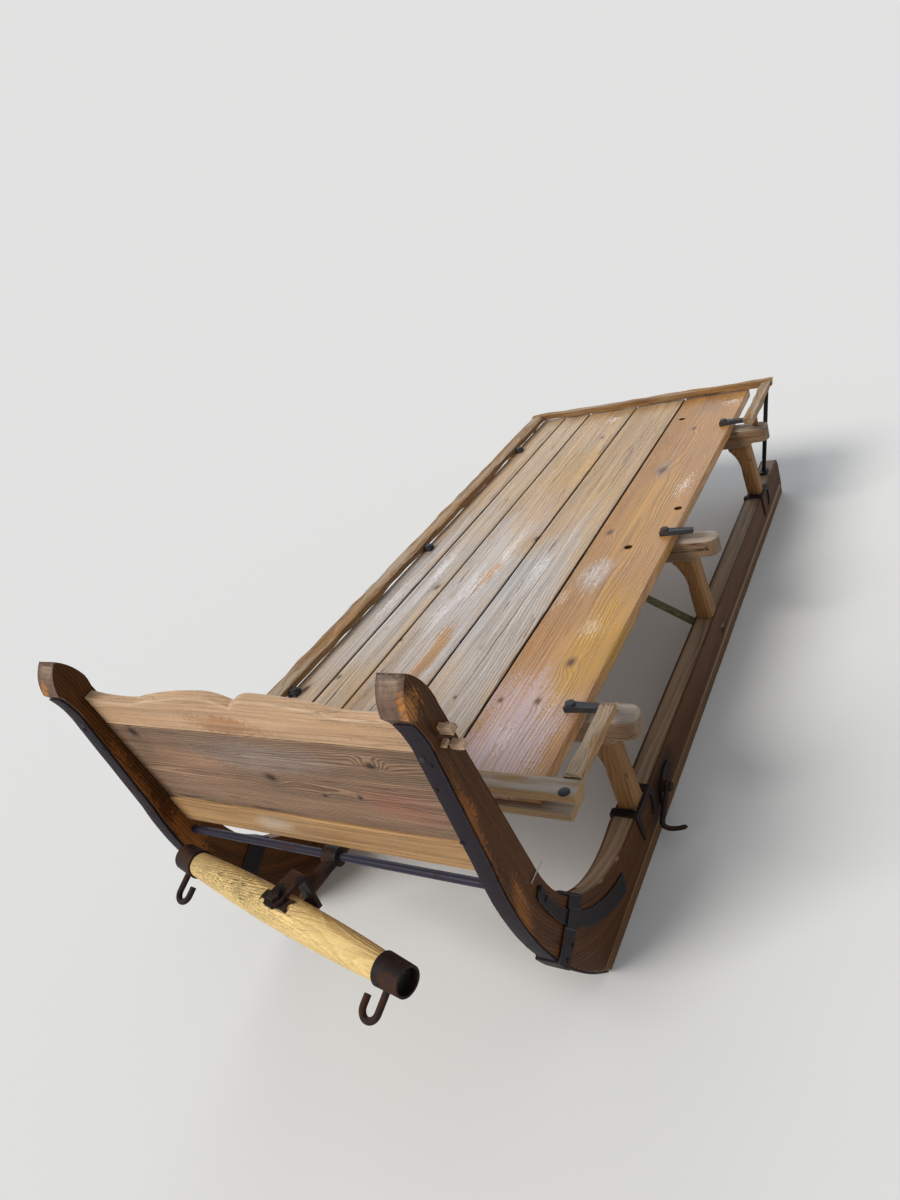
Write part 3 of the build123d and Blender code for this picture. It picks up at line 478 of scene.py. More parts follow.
def iron(
    name, scale_colour, rust, rust_share=0.4, bright=(0.2, 0.19, 0.2), rough=0.5, pits=1.0,
    shine=0.12,
):
    """Makes a finish of forged iron with patches of rust."""
    sheet = Sheet(name)
    sheet.shader.inputs["Specular IOR Level"].default_value = shine
    place = sheet.position()
    blotch = sheet.cloud(place, scale=26.0, detail=6.0, rough=0.65)
    fine = sheet.cloud(place, scale=240.0, detail=4.0, rough=0.7)
    dents = sheet.cloud(place, scale=55.0, detail=2.0)
    flaked = blotch + fine * 0.25 - 0.12
    rusty = flaked.between(0.62 - rust_share * 0.3, 0.72 - rust_share * 0.3)
    colour = sheet.shade(0.55 + fine * 0.5 + blotch * 0.4, sheet.colour(scale_colour))
    colour = sheet.blend(rusty * 0.8, colour, rust)
    rubbed = (sheet.mark("arris") * (0.2 + blotch)).at_most(1.0) * (1 - rusty * 0.6)
    colour = sheet.blend(rubbed * 0.6, colour, bright)
    gloss = rough + rusty * 0.22 - rubbed * 0.1 + (fine - 0.5) * 0.2
    height = fine * 0.5 + dents * 0.9 + rusty * 0.3
    finishes[name] = sheet.finish(colour, gloss, height, 0.001 * pits, 0.7, metal=rubbed * 0.3)


print("iron recipe ready")

# %% [markdown]
# ## Marks that belong to one place
#
# Stains, knots, puddles and splits sit where the real ones are, and patches of painted light and
# shade where light and shade fall. A painted picture could hold them, but here each is one row, a
# place and its reach, and goes right through its board as a knot does.

# %% Places on the deck and the boards
deck_top, boards_front, right_through = 0.413, -0.97, 9.0


def on_deck(x, y, across, along):
    """A place on the planks and how far a mark reaches there."""
    return (x, y, deck_top), (across, along, right_through)


def on_boards(x, z, across, up):
    """A place on the head board, which stands across the sled, and a mark's reach."""
    return (x, boards_front, z), (across, right_through, up)


def marks(where, *rows):
    """Knots, puddles or splits, from rows of a place and two reaches."""
    return [where(*row) for row in rows]


def tinted(where, *rows):
    """Stains and painted light and shade, from rows of a tint, its strength, a place and two
    reaches.
    """
    return [(tint, strength, *where(*row)) for tint, strength, *row in rows]


def both_sides(*rows):
    """Stains and painted light and shade on the left runner, and the same, mirrored, on the right.
    """
    return [
        (tint, strength, (way * x, y, z), reach)
        for way in (1, -1) for tint, strength, (x, y, z), reach in rows
    ]


# the rose tint is a painted reflection of the sky on the wide plank's front
gold, orange, sky_rose_reflection = (0.5, 0.26, 0.03), (0.47, 0.2, 0.02), (0.56, 0.42, 0.42)
# the film is the planks' own greying with a painted sheen of sky over it
grey_film_and_sheen, ash_grey = (0.53, 0.53, 0.56), (0.22, 0.2, 0.19)
print("a mark in the middle of the deck", on_deck(0.0, 0.0, 0.1, 0.2))

# %% [markdown]
# ## The runners' dark wood
#
# Mud and rain have turned the runners nearly black, with red brown left on the horns' sides, worn
# arrises and bleached ends. The tops are made paler and the red brown beside the bands brighter,
# both as painted light, and the black round the front leg irons is rust stain with painted shade.
# Black paint would hide the grain, so the rings are very dark and stains bring the brown back.

# %% Finish of runners and soles
red_brown_and_light, pale_end, black_rust_and_shade = (0.27, 0.095, 0.02), (0.42, 0.17, 0.045), (0.01, 0.005, 0.004)
wood(
    "runner_timber", (0.088, 0.032, 0.008), (0.026, 0.008, 0.0025), ring=0.0055, wander=0.03,
    contrast=0.55, streak=0.9, worn=(0.16, 0.085, 0.04), worn_share=0.7, cracks=0.6, wet=0.2,
    # the top tint is painted light, which makes the runners' upper faces paler
    rough=0.55, relief=0.9, end_tint=(0.15, 0.095, 0.07), top_light_tint=(0.38, 0.27, 0.18), shine=0.09,
    stains_and_light=[
        *both_sides(
            # red brown beside the bands: the wood's colour, brightened as painted light
            (red_brown_and_light, 0.9, (0.4, -1.0, 0.57), (9, 0.022, 0.13)),
            (red_brown_and_light, 0.9, (0.4, -0.965, 0.39), (9, 0.03, 0.09)),
        ),
        *both_sides(((0.13, 0.066, 0.034), 0.8, (0.4, 0.55, 0.07), (0.02, 0.9, 0.12))),
        *both_sides(((0.25, 0.23, 0.22), 0.8, (0.38, -1.05, 0.875), (0.08, 0.1, 0.03))),
        *both_sides((pale_end, 1.2, (0.39, -1.045, 0.822), (0.014, 0.05, 0.024))),
        *both_sides(((0.17, 0.072, 0.022), 0.8, (0.375, -0.58, 0.16), (0.05, 0.12, 0.05))),
        # black round the front leg irons: rust stain and painted shade
        *both_sides((black_rust_and_shade, 0.8, (0.4, -0.38, 0.09), (9, 0.12, 0.07))),
    ],
    puddles=[((0.372, -0.6, 0.145), (0.03, 0.035, 0.03))],
)
wood(
    "sole_timber", (0.16, 0.078, 0.025), (0.06, 0.025, 0.009), ring=0.006, contrast=0.6,
    worn=(0.3, 0.165, 0.065), worn_share=0.8, grey=(0.13, 0.1, 0.065), grey_share=0.2,
    shine=0.2,
)
print("finishes", list(finishes))

# %% [markdown]
# ## Beams, legs and rails
#
# These are hewn or split, with torn fibres, so they get deep relief, many cracks and grey clouds.
# The rails are the most weathered, and their cracks lie closest.

# %% Finish of the frame timbers
wood(
    "beam_timber", (0.24, 0.135, 0.065), (0.11, 0.058, 0.027), ring=0.005, contrast=0.45,
    speckle=0.8, streak=0.7, worn=(0.36, 0.29, 0.21), worn_share=0.7, grey=(0.44, 0.39, 0.34),
    grey_share=0.85, cracks=1.0, rough=0.75, relief=1.7, end_tint=(0.23, 0.155, 0.095),
)
wood(
    "leg_timber", (0.27, 0.13, 0.042), (0.12, 0.052, 0.016), ring=0.006, contrast=0.45, streak=0.8,
    worn=(0.38, 0.23, 0.1), cracks=1.0, grey=(0.22, 0.15, 0.09), grey_share=0.25,
    relief=1.4,
)
wood("strut_timber", (0.2, 0.18, 0.1), (0.11, 0.095, 0.05), cracks=0.3, rough=0.7)
wood(
    "rail_timber", (0.38, 0.21, 0.085), (0.19, 0.09, 0.034), ring=0.005, contrast=0.4, fibre=0.5,
    speckle=1.2, streak=0.9, worn=(0.52, 0.4, 0.27), worn_share=0.8, crack_scale=95.0,
    grey=(0.46, 0.38, 0.29), grey_share=0.6, cracks=1.0, rough=0.72, relief=2.4,
    end_tint=(0.3, 0.2, 0.11),
)
wood(
    "front_board", (0.36, 0.21, 0.085), (0.2, 0.105, 0.04), ring=0.005, contrast=0.45, streak=0.6,
    worn=(0.46, 0.35, 0.22), worn_share=0.7, grey=(0.42, 0.4, 0.37), grey_share=0.9, cracks=1.0,
    rough=0.65, relief=1.7,
)
print("finishes", list(finishes)[2:])

# %% [markdown]
# ## The deck's planks
#
# The wide plank is the reddest, the inner ones are paler and wetter, and the far ones are greyest.
# One finish for the whole deck would make five planks look like one sheet, so there are three.

# %% Finish of the wide plank
wood(
    "plank_wide", (0.47, 0.245, 0.085), (0.28, 0.11, 0.03), ring=0.005, heart=0.04, wander=0.045,
    contrast=0.6, speckle=0.8, streak=0.45, worn=(0.52, 0.32, 0.15), cracks=0.25, wet=0.5,
    rough=0.46, relief=1.1,
    stains_and_light=tinted(
        on_deck,
        # the film here is greying with a painted sheen over it
        # the rose at the front is a painted reflection of the sky
        (sky_rose_reflection, 1.3, 0.24, -0.62, 0.16, 0.32), (grey_film_and_sheen, 0.5, 0.2, -0.02, 0.05, 0.1),
        (gold, 1.3, 0.3, -0.32, 0.085, 0.3), (gold, 0.5, 0.25, 0.3, 0.1, 0.35),
        (ash_grey, 0.6, 0.21, 0.58, 0.03, 0.08), (ash_grey, 0.35, 0.25, 1.05, 0.08, 0.1),
    ),
    knots=marks(
        on_deck,
        (0.211, 0.57, 0.014, 0.024), (0.233, 0.875, 0.009, 0.015), (0.169, 0.198, 0.009, 0.015),
        (0.271, -0.38, 0.01, 0.016), (0.248, -0.512, 0.007, 0.011), (0.164, -0.515, 0.006, 0.009),
    ),
    puddles=marks(
        on_deck,
        (0.198, -0.02, 0.035, 0.09), (0.305, 0.456, 0.02, 0.08), (0.32, 1.08, 0.04, 0.05),
        (0.15, -0.12, 0.014, 0.06), (0.27, -0.25, 0.03, 0.05), (0.22, -0.62, 0.03, 0.05),
    ),
    # the holes are made dark inside as painted shade
    holes=[
        ((x, y, 0.3965), (0.0165, 0.0165, 0.0235))
        for x, y in ((0.17, 0.972), (0.325, 0.308), (0.247, 0.109))
    ],
)
print("wide plank", finishes["plank_wide"].name)

# %% Finish of the inner planks
wood(
    "plank_inner", (0.48, 0.31, 0.155), (0.29, 0.16, 0.07), ring=0.0055, heart=0.045, contrast=0.5,
    speckle=1.0, streak=0.6, worn=(0.46, 0.31, 0.17), grey=(0.4, 0.34, 0.28), grey_share=0.3,
    cracks=0.7, wet=0.7, rough=0.46, relief=1.2,
    stains_and_light=tinted(
        on_deck,
        # the film is greying with a painted sheen over it
        (grey_film_and_sheen, 0.8, 0.04, -0.2, 0.15, 0.7), (grey_film_and_sheen, 0.85, -0.14, -0.1, 0.15, 0.6),
        (gold, 0.75, -0.1, 0.66, 0.1, 0.22), (orange, 1.1, -0.095, -0.35, 0.026, 0.15),
        (orange, 0.9, -0.114, 0.01, 0.02, 0.1), (gold, 0.5, 0.06, 0.45, 0.07, 0.2),
        (ash_grey, 0.5, 0.02, -0.33, 0.012, 0.025),
    ),
    knots=marks(
        on_deck,
        (-0.046, 0.19, 0.01, 0.016), (-0.222, -0.304, 0.006, 0.008),
        (0.05, -0.513, 0.005, 0.007), (-0.09, 0.905, 0.008, 0.012),
    ),
    puddles=marks(
        on_deck,
        (-0.105, 0.12, 0.022, 0.13), (-0.13, -0.05, 0.03, 0.1), (0.03, 0.02, 0.025, 0.1),
        (-0.094, 1.08, 0.03, 0.04), (-0.17, -0.18, 0.02, 0.08),
    ),
    splits=marks(
        on_deck,
        (0.053, -0.2, 0.0016, 0.38), (0.07, 0.62, 0.0016, 0.16), (-0.147, 0.7, 0.0016, 0.2),
    ),
)
print("inner planks", finishes["plank_inner"].name)

# %% Finish of the far planks
wood(
    "plank_far", (0.5, 0.35, 0.21), (0.32, 0.2, 0.105), ring=0.0055, heart=0.045, contrast=0.45,
    speckle=1.0, streak=0.6, worn=(0.5, 0.36, 0.22), grey=(0.46, 0.4, 0.33), grey_share=0.35,
    cracks=0.8, wet=0.7, rough=0.5, relief=1.2,
    stains_and_light=tinted(
        on_deck,
        # the film is greying with a painted sheen over it
        (grey_film_and_sheen, 0.8, -0.33, -0.15, 0.15, 0.64), (gold, 0.4, -0.3, -0.52, 0.1, 0.2),
        (orange, 0.7, -0.33, 0.12, 0.014, 0.12), (ash_grey, 0.5, -0.249, -0.054, 0.025, 0.04),
    ),
    knots=marks(
        on_deck,
        (-0.312, -0.459, 0.007, 0.011), (-0.381, -0.51, 0.01, 0.016),
        (-0.249, -0.054, 0.009, 0.014),
    ),
    puddles=marks(
        on_deck,
        (-0.36, -0.12, 0.03, 0.1), (-0.28, 0.05, 0.02, 0.1), (-0.39, 0.02, 0.02, 0.12),
    ),
    splits=marks(on_deck, (-0.283, -0.55, 0.0016, 0.16)),
)
print("far planks", finishes["plank_far"].name)

# %% [markdown]
# ## Head board and swingletree
#
# The top board is pale and planed, the middle one dark pine with strongly drawn rings and knots,
# and the batten golden. The swingletree is ash: yellow, fine grained, flecked with dirt on top.

# %% Finish of the head board
wood(
    "board_top", (0.53, 0.34, 0.2), (0.36, 0.2, 0.105), ring=0.006, contrast=0.35,
    streak=0.5, worn=(0.66, 0.5, 0.35), worn_share=0.45, cracks=0.35, rough=0.55,
    stains_and_light=tinted(
        on_boards,
        ((0.33, 0.12, 0.04), 0.7, -0.02, 0.735, 0.12, 0.025),
        ((0.48, 0.28, 0.15), 0.7, 0.22, 0.74, 0.12, 0.03),
        ((0.46, 0.26, 0.14), 0.6, -0.26, 0.73, 0.09, 0.02),
    ),
)
wood(
    "board_middle", (0.3, 0.19, 0.12), (0.115, 0.062, 0.038), ring=0.0034, heart=0.03, wander=0.08,
    fibre=0.6, streak=0.8, cracks=0.7, worn=(0.36, 0.22, 0.14), relief=1.3,
    knots=marks(
        on_boards,
        (0.235, 0.665, 0.01, 0.008), (-0.01, 0.6, 0.014, 0.011), (0.09, 0.57, 0.006, 0.005),
        (0.17, 0.577, 0.006, 0.005), (-0.3, 0.69, 0.012, 0.014),
    ),
    stains_and_light=tinted(
        on_boards,
        ((0.36, 0.13, 0.09), 0.6, 0.24, 0.58, 0.12, 0.07),
        ((0.44, 0.24, 0.14), 0.7, -0.2, 0.62, 0.14, 0.07),
        ((0.38, 0.31, 0.28), 0.6, 0.0, 0.65, 0.22, 0.06),
    ),
)
wood(
    "batten", (0.46, 0.27, 0.12), (0.29, 0.14, 0.05), ring=0.006, contrast=0.4, streak=0.6,
    worn=(0.6, 0.42, 0.22), worn_share=0.9, cracks=0.35, rough=0.55,
    stains_and_light=tinted(on_boards, ((0.56, 0.44, 0.33), 0.9, -0.09, 0.465, 0.07, 0.03)),
)
print("finishes", list(finishes)[10:])

# %% Finish of wedges and swingletree
wood(
    "wedge_timber", (0.56, 0.38, 0.24), (0.38, 0.24, 0.14), ring=0.004, contrast=0.5,
    worn=(0.66, 0.5, 0.35), cracks=1.0, rough=0.75, end_tint=(0.4, 0.27, 0.165), relief=1.6,
    streak=0.7,
)
wood(
    "ash_bar", (0.8, 0.58, 0.25), (0.6, 0.39, 0.14), ring=0.0035, heart=0.02, wander=0.02,
    contrast=0.5, fibre=0.35, streak=0.3, cracks=0.3, relief=1.2,
    end_tint=(0.004, 0.004, 0.004), flecks=(1.0, (-0.16, -1.08, 0.43), (0.25, 0.3, 0.3)),
    stains_and_light=[((0.16, 0.12, 0.06), 0.55, (-0.2, -1.1, 0.43), (0.2, 0.2, 0.022))],
)
print("finishes", list(finishes)[13:])

# %% [markdown]
# ## The irons' colours
#
# Forge scale is almost black, and a little blue on the rod and the bands. The clips are greyer, and
# a nail has been rubbed bright. The stays behind the rear legs are smooth and darkest.

# %% Finish of the irons
iron("band_iron", (0.019, 0.0145, 0.02), (0.032, 0.019, 0.017), 0.25, (0.08, 0.075, 0.085), 0.6)
iron("strap_iron", (0.012, 0.009, 0.01), (0.036, 0.017, 0.011), 0.3, (0.12, 0.11, 0.11), 0.55)
iron("forged_iron", (0.018, 0.012, 0.0115), (0.055, 0.024, 0.014), 0.45, (0.12, 0.11, 0.11), 0.5)
iron("clip_iron", (0.034, 0.036, 0.042), (0.06, 0.042, 0.03), 0.35, (0.22, 0.22, 0.23))
iron("bright_iron", (0.42, 0.41, 0.4), (0.25, 0.17, 0.12), 0.2, (0.7, 0.7, 0.7), shine=0.4)
iron("stay_iron", (0.007, 0.007, 0.008), (0.02, 0.012, 0.009), 0.2, (0.03, 0.03, 0.033), 0.5)
iron("rod_iron", (0.03, 0.028, 0.046), (0.035, 0.022, 0.021), 0.15, (0.09, 0.09, 0.11), 0.34, 0.5)
print("finishes", len(finishes))

# %% [markdown]
# ## Softening a piece
#
# Each piece starts as a copy of its CAD node. The copy's loose triangles are joined and its flat
# faces merged, the arrises are bevelled, and planes slice it finely enough that its faces can be
# made wavy. A subdivision modifier would round the whole piece and shrink it, so slices are better.

# %% Copy and bevel


def joined_copy(node, flat=0.8):
    """The node's mesh with its triangles joined and its flat faces merged."""
    shape = bmesh.new()
    shape.from_mesh(parts[node].data)
    bmesh.ops.remove_doubles(shape, verts=shape.verts, dist=2e-5)
    bmesh.ops.dissolve_limit(
        shape, angle_limit=radians(flat), verts=shape.verts, edges=shape.edges
    )
    return shape


def wear_arrises(shape, width, least_angle=28.0):
    """Bevels the sharp edges and marks the new faces, which are where a timber is rubbed."""
    arris = shape.faces.layers.float.new("arris")
    least = radians(least_angle)
    sharp = [e for e in shape.edges if len(e.link_faces) == 2 and e.calc_face_angle(0) > least]
    made = bmesh.ops.bevel(
        shape, geom=sharp, offset=width, offset_type="OFFSET", segments=2, profile=0.5,
        affect="EDGES", clamp_overlap=True, material=-1,
    )
    for face in made["faces"]:
        face[arris] = 1.0


print("copies can be made and bevelled")

# %% Slice and wave


def slice_across(shape, axis, step):
    """Cuts the shape by planes across one axis, a step apart."""
    places = [v.co[axis] for v in shape.verts]
    low, high = min(places), max(places)
    count = max(1, round((high - low) / step))
    normal = [0.0, 0.0, 0.0]
    normal[axis] = 1.0
    for i in range(1, count):
        point = [0.0, 0.0, 0.0]
        point[axis] = low + (high - low) * i / count
        geometry = shape.verts[:] + shape.edges[:] + shape.faces[:]
        bmesh.ops.bisect_plane(shape, geom=geometry, dist=1e-6, plane_co=point, plane_no=normal)


def wave_faces(shape, amount, length, stretch=(1.0, 1.0, 1.0), seed=0):
    """Sinks the points along their normals by up to the amount, in soft waves of that length."""
    shape.normal_update()
    shift = Vector((seed % 97, seed % 89, seed % 83))
    moves = []
    for point in shape.verts:
        place = Vector(c / (length * s) for c, s in zip(point.co, stretch)) + shift
        moves.append(point.normal * -amount * (0.5 + 0.5 * noise.noise(place)))
    for point, move in zip(shape.verts, moves):
        point.co += move


print("faces can be sliced and waved")

# %% [markdown]
# ## Where a point lies in its tree
#
# The wood recipe reads a place along the grain, across it and into it. In a straight timber that is
# a change of axes, with a shift from the piece's name, so that no two show the same rings. It is
# kept on the mesh's points, because a pattern on the object's coordinates couldn't bend.

# %% Grain and ends
AXIS = {"X": 0, "Y": 1, "Z": 2}


def plain_grain(along, across):
    """Where a point lies in a straight timber whose grain runs along one axis."""
    first, second = AXIS[along], AXIS[across]
    third = 3 - first - second
    return lambda place: (place[first], place[second], place[third])


def mark_ends(shape, facing, least=0.8, above=-1.0):
    """Marks the points of faces that look one way or the opposite way, where the grain ends."""
    shape.normal_update()
    end = shape.verts.layers.float.new("end")
    for face in shape.faces:
        if abs(face.normal.dot(facing)) > least and face.calc_center_median().z > above:
            for point in face.verts:
                point[end] = 1.0


print("grain and ends ready")

# %% The finished piece


def make_object(shape, name, finish):
    """Turns the shape into an object of the scene with one finish."""
    mesh = bpy.data.meshes.new(name)
    shape.to_mesh(mesh)
    shape.free()
    piece = bpy.data.objects.new(name, mesh)
    bpy.context.scene.collection.objects.link(piece)
    piece.data.materials.append(finishes[finish])
    return piece


def finish_piece(shape, name, node, grain, crease=38.0):
    """Makes the object, with its grain, finish and body, and lets it stand for the node."""
    seed = crc32(name.encode())
    shift = Vector((seed % 61, seed % 7 * 0.004, seed % 5 * 0.004))
    layer = shape.verts.layers.float_vector.new("grain")
    upward = shape.verts.layers.float.new("up")
    shape.normal_update()
    for point in shape.verts:
        point[layer] = Vector(grain(point.co)) + shift
        point[upward] = max(0.0, point.normal.z)
    for face in shape.faces:
        face.smooth = True
    for edge in shape.edges:
        edge.smooth = len(edge.link_faces) != 2 or edge.calc_face_angle(0) < radians(crease)
    piece = make_object(shape, name, slot_of[node])
    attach(piece, body_of[node])
    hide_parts(node)


print("pieces can be finished")

# %% [markdown]
# ## Two ways to treat a piece
#
# Timber is waved in long swells along its grain, iron in small dents all over. With these helpers
# most pieces below are one line, which says how worn and how wavy that piece is.

# %% Timber and forging


def centre_of(node):
    low, high = (Vector(corner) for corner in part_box(node))
    return (low + high) / 2, high - low


def timber(
    node, along, across, arris=0.0025, wave=0.001, step=0.03, side_step=0.02, length=0.07,
    change=None, shade=None,
):
    """A straight timber, worn and a little wavy. change comes before that, and shade after it."""
    middle, _ = centre_of(node)
    shape = joined_copy(node)
    if change:
        change(shape)
    wear_arrises(shape, arris)
    for axis in range(3):
        slice_across(shape, axis, step if axis == AXIS[along] else side_step)
    stretch = [1.0, 1.0, 1.0]
    stretch[AXIS[along]] = 3.0
    wave_faces(shape, wave, length, stretch, crc32(node.encode()))
    mark_ends(shape, Vector(1.0 if axis == AXIS[along] else 0.0 for axis in range(3)))
    if shade:
        shade(shape)
    order = plain_grain(along, across)
    finish_piece(shape, f"{node}_worn", node, lambda place: order(place - middle))


def forging(node, arris=0.001, wave=0.0004, step=0.012, change=None):
    """An iron piece with rubbed arrises and hammered faces. change comes before that."""
    shape = joined_copy(node)
    if change:
        change(shape)
    wear_arrises(shape, arris, least_angle=40.0)
    for axis in range(3):
        slice_across(shape, axis, step)
    wave_faces(shape, wave, length=0.03, seed=crc32(node.encode()))
    finish_piece(shape, f"{node}_forged", node, lambda place: place)


print("timber and forging ready")

# %% [markdown]
# ## Runners and horns
#
# A runner is one tree, grown or steamed to the bend, so its grain turns up with it. Straight grain
# would be cut off at the heel, as if sawn from a wide board. Here the grain is measured along the
# runner, then by angle round the heel, then up the horn.

# %% Runners
heel_y, heel_z, heel_radius = -0.5965, 0.448, 0.31
horn_lean = radians(9.7)
horn_ends_above = 0.745


def bent_grain(place):
    """Along, across and into a runner that bends up at the heel."""
    x, y, z = place
    out_y, out_z = y - heel_y, z - heel_z
    turn = atan2(-out_y, -out_z)
    if turn <= 0:
        return (y - heel_y, x, -out_z - heel_radius)
    if turn < pi / 2 - horn_lean:
        return (-turn * heel_radius, x, (out_y**2 + out_z**2) ** 0.5 - heel_radius)
    rise = out_z * cos(horn_lean) - out_y * sin(horn_lean)
    depth = -out_y * cos(horn_lean) - out_z * sin(horn_lean)
    return (-(pi / 2 - horn_lean) * heel_radius - rise, x, depth - heel_radius)


def bent_timber(node, arris, wave):
    """A runner with its horn; only the horn's end shows end grain."""
    shape = joined_copy(node)
    wear_arrises(shape, arris)
    for axis, step in enumerate((0.013, 0.03, 0.03)):
        slice_across(shape, axis, step)
    wave_faces(shape, wave, length=0.09, stretch=(1, 2, 2), seed=crc32(node.encode()))
    mark_ends(shape, Vector((0.0, 1.0, 0.0)), least=0.7, above=horn_ends_above)
    middle_x = centre_of(node)[0].x
    finish_piece(
        shape, f"{node}_worn", node,
        lambda place: bent_grain((place.x - middle_x, place.y, place.z)),
    )


for side in ("left", "right"):
    bent_timber(f"runner_{side}", arris=0.0045, wave=0.0015)
    timber(f"sole_{side}", "Y", "X", arris=0.003, side_step=0.015)

# %% [markdown]
# ## The bed's planks
#
# Between two planks runs a black line, where the gap lies in shade. Over the pale floor the gap
# is lit from below, so the sides are marked and the recipe darkens them as painted shade.

# %% Planks
plank_count = 5


def mark_gap_shade(shape, number):
    """Marks the sides of a plank that look into the gap to the next one, for painted shade."""
    middle, size = centre_of(f"plank_{number}")
    gap = shape.verts.layers.float.new("gap")
    for face in shape.faces:
        looks, beside = face.normal.x, face.calc_center_median().x
        to_next = looks < -0.8 and number < plank_count and beside < middle.x - size.x * 0.45
        to_last = looks > 0.8 and number > 1 and beside > middle.x + size.x * 0.45
        if to_next or to_last:
            for point in face.verts:
                point[gap] = 1.0


for number in range(1, plank_count + 1):
    timber(
        f"plank_{number}", "Y", "X", arris=0.002, wave=0.0012, step=0.04,
        shade=lambda shape: mark_gap_shade(shape, number),
    )
print("planks laid", plank_count)

# %% [markdown]
# ## Rails
#
# The rails are split poles with deep hollows eaten into them. Waves that deep would open a gap to
# the planks, so each side rail is first widened towards the bed. The broken one also gets a torn
# end: a fine noise pulls its end points back by different lengths.

# %% Rails


def lean_inwards(shape, share=0.28):
    """Widens a rail towards the bed, so that its waves don't open a gap there."""
    inward = -1 if sum(v.co.x for v in shape.verts) > 0 else 1
    outer = max(-inward * v.co.x for v in shape.verts)
    for point in shape.verts:
        point.co.x += inward * (outer + inward * point.co.x) * share


def break_rear_end(shape, depth=0.022, splinter=0.0045, ragged=170):
    """Widens the rail and tears its rear end off in splinters."""
    lean_inwards(shape)
    rear = max(v.co.y for v in shape.verts)
    for axis in (0, 2):
        slice_across(shape, axis, splinter)
    for point in shape.verts:
        if point.co.y > rear - 0.001:
            where = Vector((point.co.x * ragged, 3.0, point.co.z * ragged))
            point.co.y -= depth * (0.5 + 0.5 * noise.noise(where))


eaten = {"arris": 0.004, "step": 0.01, "side_step": 0.007, "length": 0.022}
for node, change in (
    ("rail_right", lambda shape: lean_inwards(shape, 0.95)),
    ("rail_left_front", break_rear_end),
    ("rail_left_rear", lean_inwards),
):
    timber(node, "Y", "X", wave=0.0095, change=change, **eaten)
timber("rail_rear", "X", "Y", wave=0.0065, **eaten)

# %% [markdown]
# ## The straight timbers
#
# Each line names a piece, how its grain runs, how round its arrises are and how deep its waves:
# hewn legs and beams are rough, the boards nearly flat, the dowels and the swingletree smooth.

# %% Straight timbers
for node in ("front_rail_upper", "front_rail_lower"):
    timber(node, "X", "Y", arris=0.003, wave=0.002, step=0.018, side_step=0.01)
for row in ("front", "middle", "rear"):
    timber(f"beam_{row}", "X", "Y", arris=0.004, wave=0.0025, step=0.02, side_step=0.012)
    for side in ("left", "right"):
        timber(f"leg_{row}_{side}", "Z", "X", arris=0.004, wave=0.003, step=0.014, side_step=0.012)
for node in ("dowel_front_right", "dowel_middle_right", "dowel_rear_right", "dowel_rear_left"):
    timber(node, "Z", "X", arris=0.001, wave=0.0005, step=0.01, side_step=0.01)
for side in ("left", "right"):
    timber(f"strut_{side}", "X", "Y", arris=0.001, wave=0.0015, step=0.015, side_step=0.01)
timber("head_board_top", "X", "Z", arris=0.0035, wave=0.0012, side_step=0.012)
timber("head_board_middle", "X", "Z", arris=0.002, wave=0.0012, side_step=0.015)
timber("head_batten", "X", "Z", arris=0.0035, wave=0.0015, side_step=0.01)
timber("swingletree", "X", "Z", arris=0.001, wave=0.001, step=0.014, side_step=0.012)

# %% [markdown]
# ## Irons
#
# Straps, bands, hooks and stays are flat bar bent round the wood, with hammer marks left in. The
# CAD pieces have the right bends, so all get their dents and rubbed arrises from one helper. Only
# the clips are drawn out thinner first.

# %% Forgings
for side in ("left", "right"):
    forging(f"horn_band_{side}", arris=0.0012, wave=0.0008, step=0.02)
    for piece in (
        "bend_plate", "bend_strap", "leg_iron_front", "leg_iron_rear", "rear_stay", "claw_stud",
        "end_hook",
    ):
        forging(f"{piece}_{side}")
for node in ("draught_link", "link_bolt", "tree_plate"):
    forging(node, wave=0.0003)


clip_rows = (-0.532, 0.165, 0.87)
left_heads_end, right_heads_end = 0.345, -0.413


def draw_out_clips(shape, share=0.55):
    """Thins the shank of each clip, as drawing out under the hammer does, but not its head."""
    for point in shape.verts:
        row = min(clip_rows, key=lambda y: abs(y - point.co.y))
        past_head = point.co.x > left_heads_end or point.co.x < right_heads_end
        point.co.y = row + (point.co.y - row) * (share if past_head else 1.0)


forging("plank_clips", wave=0.0003, change=draw_out_clips)

# %% [markdown]
# ## Tenon blocks and their wedge
#
# Outside each horn the top board is held by rough offcuts: an upper block with a torn end behind
# it, a lower block, and a small slanted wedge that holds them apart. Four plain cubes would show as
# such, so each is cut finely, rounded and made uneven. They stand for the CAD model's plain wedge.

# %% Tenon blocks
# Each row: middle along the sled and above the ground; size out of the horn, along and up; lean
# in degrees; how rough. In turn the upper block, a rough end behind it, the lower block, the wedge.
blocks = (
    ((-0.9852, 0.7564), (0.023, 0.0115, 0.0165), 9.4, 0.0018),
    ((-0.9745, 0.75), (0.02, 0.012, 0.0125), 4.0, 0.0035),
    ((-0.9735, 0.7198), (0.0235, 0.0155, 0.013), 2.7, 0.0026),
    ((-0.9913, 0.7361), (0.0095, 0.006, 0.0135), -67.9, 0.001),
)
inside_horn, sunk = 0.396, 0.004


